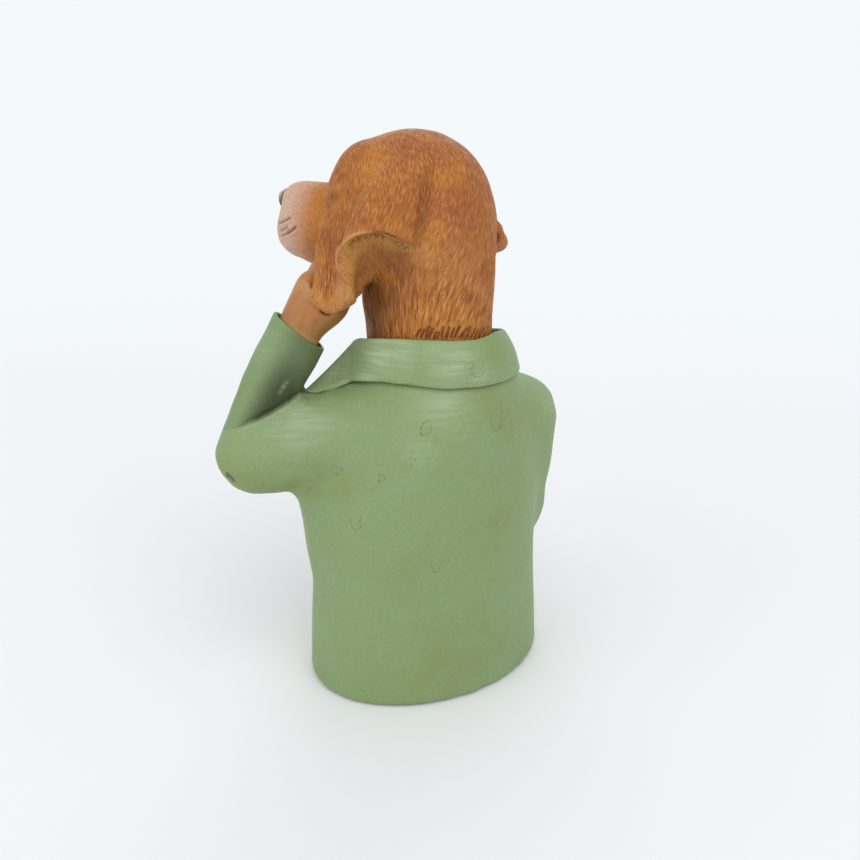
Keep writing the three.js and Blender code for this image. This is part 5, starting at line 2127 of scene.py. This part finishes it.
    def carve(self, skin: Skin, flow: Array, own: Array, lining: Array) -> None:
        """Combs the fur and cuts its strokes.

        Args:
            skin: The head.
            flow: Hair direction.
            own: Its points in the head's own frame.
            lining: How much of each point lies on the ear's lining.
        """
        muzzle = smooth(-own[:, 1], 40, 54)
        low = 1 - smooth(own[:, 2], 178, 212)
        hem, _ = skin.near(np.vstack([self.rim(self.arch), self.rim(self.lobe)]), 9.0)
        flap = 1 - smooth(hem, 2.0, 9.0)
        plain = (1 - muzzle) * (1 - 0.9 * lining)
        neck, skull = low * plain * (1 - 0.9 * flap), (1 - low) * plain * (1 - 0.6 * flap)
        fringe = flap * low * (1 - lining)
        self.comb(skin, flow)
        skin.notes["combed"] *= (1 - 0.55 * muzzle) * (1 - 0.35 * lining)
        long = (1 - smooth(own[:, 2], 172, 200)) * (1 - muzzle)
        skin.notes["long"] = long * (1 - lining) * (1 - 0.7 * flap)
        cuts = (
            (self.neck_strokes, neck, SEED, 0.9),
            (self.skull_strokes, skull, SEED + 1, 0.6),
            (self.muzzle_strokes, muzzle, SEED + 2, 0.5),
            (self.fringe_strokes, fringe + 1e-6, SEED + 4, 0.8),
        )
        for strokes, share, seed, dark in cuts:
            skin.add_note("groove", strokes.carve(skin, flow, share, seed) * dark)
        skin.add_note("lip", 0.4 * fringe)
        skin.add_note("ochre", 0.4 * low * (1 - muzzle) * (1 - smooth(own[:, 2], 165, 190)))

    def cut_lines(self, skin: Skin, view: View) -> None:
        """Cuts the bristles over the collar, the ear's fringe and the whisker lines.

        Args:
            skin: The head.
            view: The head as the photograph shows it.
        """
        roots = np.linspace(*self.bristle_row, self.bristles)
        self.bristle_ticks.cut(skin, view, roots, roots + self.bristle_lean, SEED + 7)
        roots = pixels_through(self.fringe_row, 3)
        self.fringe_ticks.cut(skin, view, roots, np.asarray(self.fringe_middle), SEED + 8)
        for line in self.whisker_lines:
            gap, share = skin.near(view.line(line), 4.0)
            ends = smooth(share, -0.1, 0.15) * (1 - smooth(share, 0.75, 1.0))
            cut, ridge = bell(gap, 0.6) * ends, bell(gap - 1.4, 0.7) * ends
            skin.push(0.5 * ridge - 0.9 * cut)
            skin.add_note("groove", cut)
            skin.add_note("ash", ridge)

    def build(self) -> None:
        """Makes the head."""
        skin, grid = self.shell()
        own = self.to_head(skin.points)
        flow = led_by(self.base_flow(skin), skin, View(self.camera, skin), self.leads, self.lead_reach)
        view = self.shape(skin, own)
        self.dress_face(skin)
        lining = self.dress_ear(skin, view, grid, flow)
        self.carve(skin, flow, own, lining)
        self.cut_lines(skin, view)
        tones = (("shade", self.dark_places), ("ochre", self.warm_places), ("lip", self.pale_places))
        for note, places in tones:
            for place in places:
                skin.add_note(note, view.patch(skin, place))
        skin.add_note("ochre", 0.5 * smooth(-own[:, 1], 38, 46))
        skin.add_note("ash", 0.9 * smooth(-own[:, 1], 50, 70))
        skin.build("carved_head", self.paint.mix("russet_fur"), Slot.FUR, "head", "left_ear", "right_ear")


@dataclass
class Eye:
    """A glossy eye with a lens, an iris and a pupil."""

    node: str
    turn: float = HEAD_TURN
    radius: float = EYE_RADIUS
    lens_bulge: float = 0.35
    rows: int = 38
    sides: int = 64

    def build(self) -> None:
        """Makes the eye."""
        rows, sides = self.rows, self.sides
        lean = np.linspace(0, math.pi, rows + 2)[1:-1, None]
        turn = np.linspace(0, 2 * math.pi, sides, endpoint=False)[None, :]
        ahead = ahead_of(self.turn)
        side = np.cross(ahead, (0, 0, 1))
        reach = self.radius + self.lens_bulge * bell(lean, 0.55)
        along = (reach * np.cos(lean) + 0 * turn)[..., None]
        wide = (reach * np.sin(lean) * np.cos(turn))[..., None]
        tall = (reach * np.sin(lean) * np.sin(turn))[..., None]
        centre = middle_of(self.node)
        grid = centre + along * ahead + wide * side + tall * np.array((0.0, 0.0, 1.0))
        points = np.vstack([grid.reshape(-1, 3), [centre + ahead * (self.radius + self.lens_bulge)],
                            [centre - ahead * self.radius]])
        count, last = len(points), (rows - 1) * sides
        faces = bands(rows, sides, flip=True)
        faces += [[n, (n + 1) % sides, count - 2] for n in range(sides)]
        faces += [[last + (n + 1) % sides, last + n, count - 1] for n in range(sides)]
        piece = new_object(f"{self.node}_ball", points, faces)
        angle = np.append(np.repeat(lean[:, 0], sides), [0.0, math.pi])
        notes = {"iris": 1 - smooth(angle, 0.62, 0.72), "pupil": 1 - smooth(angle, 0.3, 0.38)}
        Skin(points, np.empty((0, 4), int), notes).keep_notes(piece)
        settle(piece, EyeGloss().mix(f"{self.node}_gloss"), Slot.EYE, self.node)


@dataclass
class Nose:
    """The leathery nose with its nostrils."""

    turn: float = HEAD_TURN
    grain: float = 0.6
    rubs: int = 16
    ahead: float = 1.5
    up: float = 1.0

    def build(self) -> None:
        """Makes the nose."""
        skin = Skin.cast([Solid.of_node("nose")], self.grain).soften(self.rubs).refined()
        ahead = ahead_of(self.turn)
        side = np.cross(ahead, (0, 0, 1))
        skin.points = skin.points + self.ahead * ahead + np.array((0.0, 0.0, self.up))
        middle = (skin.points.max(0) + skin.points.min(0)) / 2
        rest = skin.points - middle
        along, off, high = rest @ ahead, rest @ side, rest[:, 2]
        front = smooth(along, 0.0, 2.0)
        holes = bell(np.abs(off) - 3.4, 1.5) * bell(high + 0.9 - 0.25 * np.abs(off), 1.1) * front
        seam = bell(off, 0.45) * front * (1 - smooth(high, -1.0, 1.0))
        skin.push(-1.5 * holes - 0.5 * seam)
        skin.notes["shade"] = np.clip(holes + 0.6 * seam, 0, 1)
        skin.notes["furred"] = 1 - smooth(along, -0.6, 1.2)
        skin.build("leather_nose", NoseLeather().mix("nose_dark"), Slot.NOSE, "nose")


@dataclass(frozen=True)
class Button:
    """A sewn-on button with a raised rim and four holes."""

    node: str
    radius: float = 5.2
    thickness: float = 2.6
    hole_offset: float = 1.35
    hole_radius: float = 0.62
    hole_depth: float = 1.3
    sides: int = 96
    crown: Pixels = (
        (0, 0.7), (0.55, 0.7), (0.68, 0.76), (0.8, 0.98), (0.92, 1.0), (0.98, 0.86), (1.0, 0.55),
    )

    def build(self, horn: Material, thread: Material) -> None:
        """Makes the button and its thread.

        Args:
            horn: The button's finish.
            thread: The thread's finish.
        """
        middle, base, sides = middle_of(self.node), box_of(self.node)[1][1], self.sides
        reach = np.concatenate([np.linspace(0.12, 3.0, 20), np.linspace(3.2, self.radius, 14)])
        turn = np.linspace(0, 2 * math.pi, sides, endpoint=False)
        x, z = np.outer(reach, np.cos(turn)), np.outer(reach, np.sin(turn))
        crown = np.interp(reach / self.radius, *np.array(self.crown).T)
        height = np.repeat(crown[:, None] * self.thickness, sides, 1)
        for a in (-1, 1):
            for b in (-1, 1):
                off = np.hypot(x - a * self.hole_offset, z - b * self.hole_offset)
                hole = 1 - smooth(off, self.hole_radius - 0.15, self.hole_radius + 0.15)
                height = height - self.hole_depth * hole
        top = np.stack([middle[0] + x, base - height, middle[2] + z], -1).reshape(-1, 3)
        edge = np.stack([middle[0] + x[-1], np.full(sides, base), middle[2] + z[-1]], -1)
        points = np.vstack([top, edge, [(middle[0], base - 0.7 * self.thickness, middle[2])]])
        rows = len(reach) + 1
        faces = bands(rows, sides)
        faces += [[(n + 1) % sides, n, rows * sides] for n in range(sides)]
        faces.append([(rows - 1) * sides + n for n in range(sides)])
        settle(new_object(f"{self.node}_horn", points, faces), horn, Slot.BUTTON, self.node)
        self.sew(middle, base, thread)

    def sew(self, middle: Array, base: float, thread: Material) -> None:
        """Lays two crossed threads through the holes.

        Args:
            middle: Middle of the button.
            base: Depth of the button's back.
            thread: The thread's finish.
        """
        parts = []
        for way in (-1, 1):
            for shift in (-0.14, 0.14):
                run = np.linspace(-1, 1, 15)
                dip = 1.1 * np.clip(np.abs(run) - 0.75, 0, 1) / 0.25
                lift = self.thickness * 0.7 + 0.34 - dip + 0.1 * way
                line = np.stack([middle[0] + self.hole_offset * run + shift, base - lift,
                                 middle[2] + way * self.hole_offset * run - way * shift], 1)
                parts.append(tube(line, np.full(len(run), 0.17), 8))
        settle(new_object(f"{self.node}_thread", *joined(parts)), thread, Slot.BUTTON)


@dataclass(frozen=True)
class Base:
    """The resin plate in the hem, the felt under it and the hidden pins."""

    felt_sides: int = 120
    fuzz: float = 0.0012
    felt_profile: Pixels = (
        (0.02, 0.0), (0.25, 0.0), (0.5, 0.0), (0.75, 0.0), (0.95, 0.0), (0.985, 0.04), (0.998, 0.3),
        (1.0, 0.5), (0.998, 0.75), (0.985, 0.97), (0.95, 1.0), (0.75, 1.0), (0.5, 1.0), (0.25, 1.0),
        (0.02, 1.0),
    )

    def build(self) -> None:
        """Dresses the plate and the pins, and makes the felt."""
        resin, steel = RESIN.mix("bare_resin_cast"), STEEL.mix("drawn_steel")
        for node, material in (("base_plate", resin), ("neck_pin", steel), ("elbow_pin", steel)):
            solid = frame["nodes"][node]
            solid.data.materials.clear()
            solid.data.materials.append(material)
            LOG.info("%s: kept with a new finish", node)
        self.lay_felt()

    def lay_felt(self) -> None:
        """Makes the felt with a soft cut edge."""
        low, high = box_of("felt_pad")
        middle, half = (low + high) / 2, (high - low) / 2
        sides = self.felt_sides
        turn = np.linspace(0, 2 * math.pi, sides, endpoint=False)
        fuzz = 1 + self.fuzz * np.random.default_rng(SEED).normal(size=sides)
        rings = []
        for share, level in self.felt_profile:
            reach = share * (fuzz if share > 0.9 else np.ones(sides))
            height = np.full(sides, low[2] + level * (high[2] - low[2]))
            rings.append(np.stack([middle[0] + half[0] * np.cos(turn) * reach,
                                   middle[1] + half[1] * np.sin(turn) * reach, height], 1))
        last = (len(rings) - 1) * sides
        faces = bands(len(rings), sides, flip=True)
        faces += [list(range(sides)), list(range(last, last + sides))[::-1]]
        felt = new_object("felt_sole", np.vstack(rings), faces)
        settle(felt, WoolFelt().mix("pressed_felt"), Slot.FELT, "felt_pad")


@dataclass
class Paw:
    """A wrist and paw out of a sleeve."""

    node: str
    cuff: Cuff
    camera: PhotoCamera
    swells: Patches = ()
    clefts: tuple[tuple[Pixel, Pixel], ...] = ()
    paint: PawPaint = field(default_factory=PawPaint)
    grain: float = 0.9
    rubs: int = 14
    waist: float = 1.2

    def narrow(self, skin: Skin) -> None:
        """Draws the wrist in where it comes out of the cuff.

        Args:
            skin: The paw.
        """
        rest = skin.points - np.asarray(self.cuff.mouth)
        along = rest @ self.cuff.axis()
        off = rest - along[:, None] * self.cuff.axis()
        off = off / np.maximum(np.linalg.norm(off, axis=1, keepdims=True), 1.0)
        skin.points = skin.points - off * (self.waist * (1 - smooth(along, 1.0, 11.0)))[:, None]

    def cut_toes(self, skin: Skin) -> None:
        """Cuts the clefts between the toes, with rays towards the back.

        Args:
            skin: The paw.
        """
        hits = skin.hits()
        for (x, z), (end, fall) in self.clefts:
            spots = [hits.ray_cast(Vector((a, -200, b)), Vector((0, 1, 0)))[0]
                     for a, b in zip(np.linspace(x, end, 24), np.linspace(z, fall, 24))]
            gap, share = skin.near(np.array([tuple(spot) for spot in spots if spot is not None]), 5.0)
            start = smooth(share, 0.0, 0.35)
            cleft = bell(gap, 1.1) * start
            skin.push(0.5 * bell(gap - 2.6, 1.6) * start - 1.3 * cleft)
            skin.add_note("groove", 0.8 * cleft)

    def build(self) -> None:
        """Makes the paw."""
        skin = Skin.cast([Solid.of_node(self.node)], self.grain).soften(self.rubs).refined()
        self.narrow(skin)
        for swell in self.swells:
            lump = View(self.camera, skin).patch(skin, swell)
            skin.push(lump).soften(self.rubs, np.minimum(1.0, 2 * lump / swell[-1]))
        normals = skin.normals()
        # Painted shade on the faces that look down.
        skin.add_note("under", smooth(-normals[:, 2], -0.1, 0.8))
        skin.add_note("groove", smooth(skin.bend(), 0.05, 0.3))
        along = (skin.points - np.asarray(self.cuff.mouth)) @ self.cuff.axis()
        skin.add_note("sand", bell(along - self.cuff.rise(skin.points) - 0.2, 1.3))
        self.cut_toes(skin)
        skin.build(f"{self.node}_skin", self.paint.mix(f"{self.node}_ochre"), Slot.PAW, self.node)


def main() -> None:
    """Builds the figurine piece by piece."""
    logging.basicConfig(level=logging.INFO, format="%(message)s")
    camera = PhotoCamera()
    camera.build()
    Studio().build()
    jacket = Jacket(camera).build()
    Collar(camera).build(jacket)
    Head(camera).build()
    Eye("left_eye").build()
    Eye("right_eye").build()
    Nose().build()
    Paw("left_paw", Jacket.raised, camera, swells=LEFT_SWELLS).build()
    Paw("right_paw", Jacket.resting, camera, clefts=RIGHT_TOES).build()
    horn, thread = HORN.mix("horn_buttons"), THREAD.mix("button_thread")
    for level in ("top", "middle", "low"):
        Button(f"{level}_button").build(horn, thread)
    Base().build()


if __name__ == "__main__":
    main()
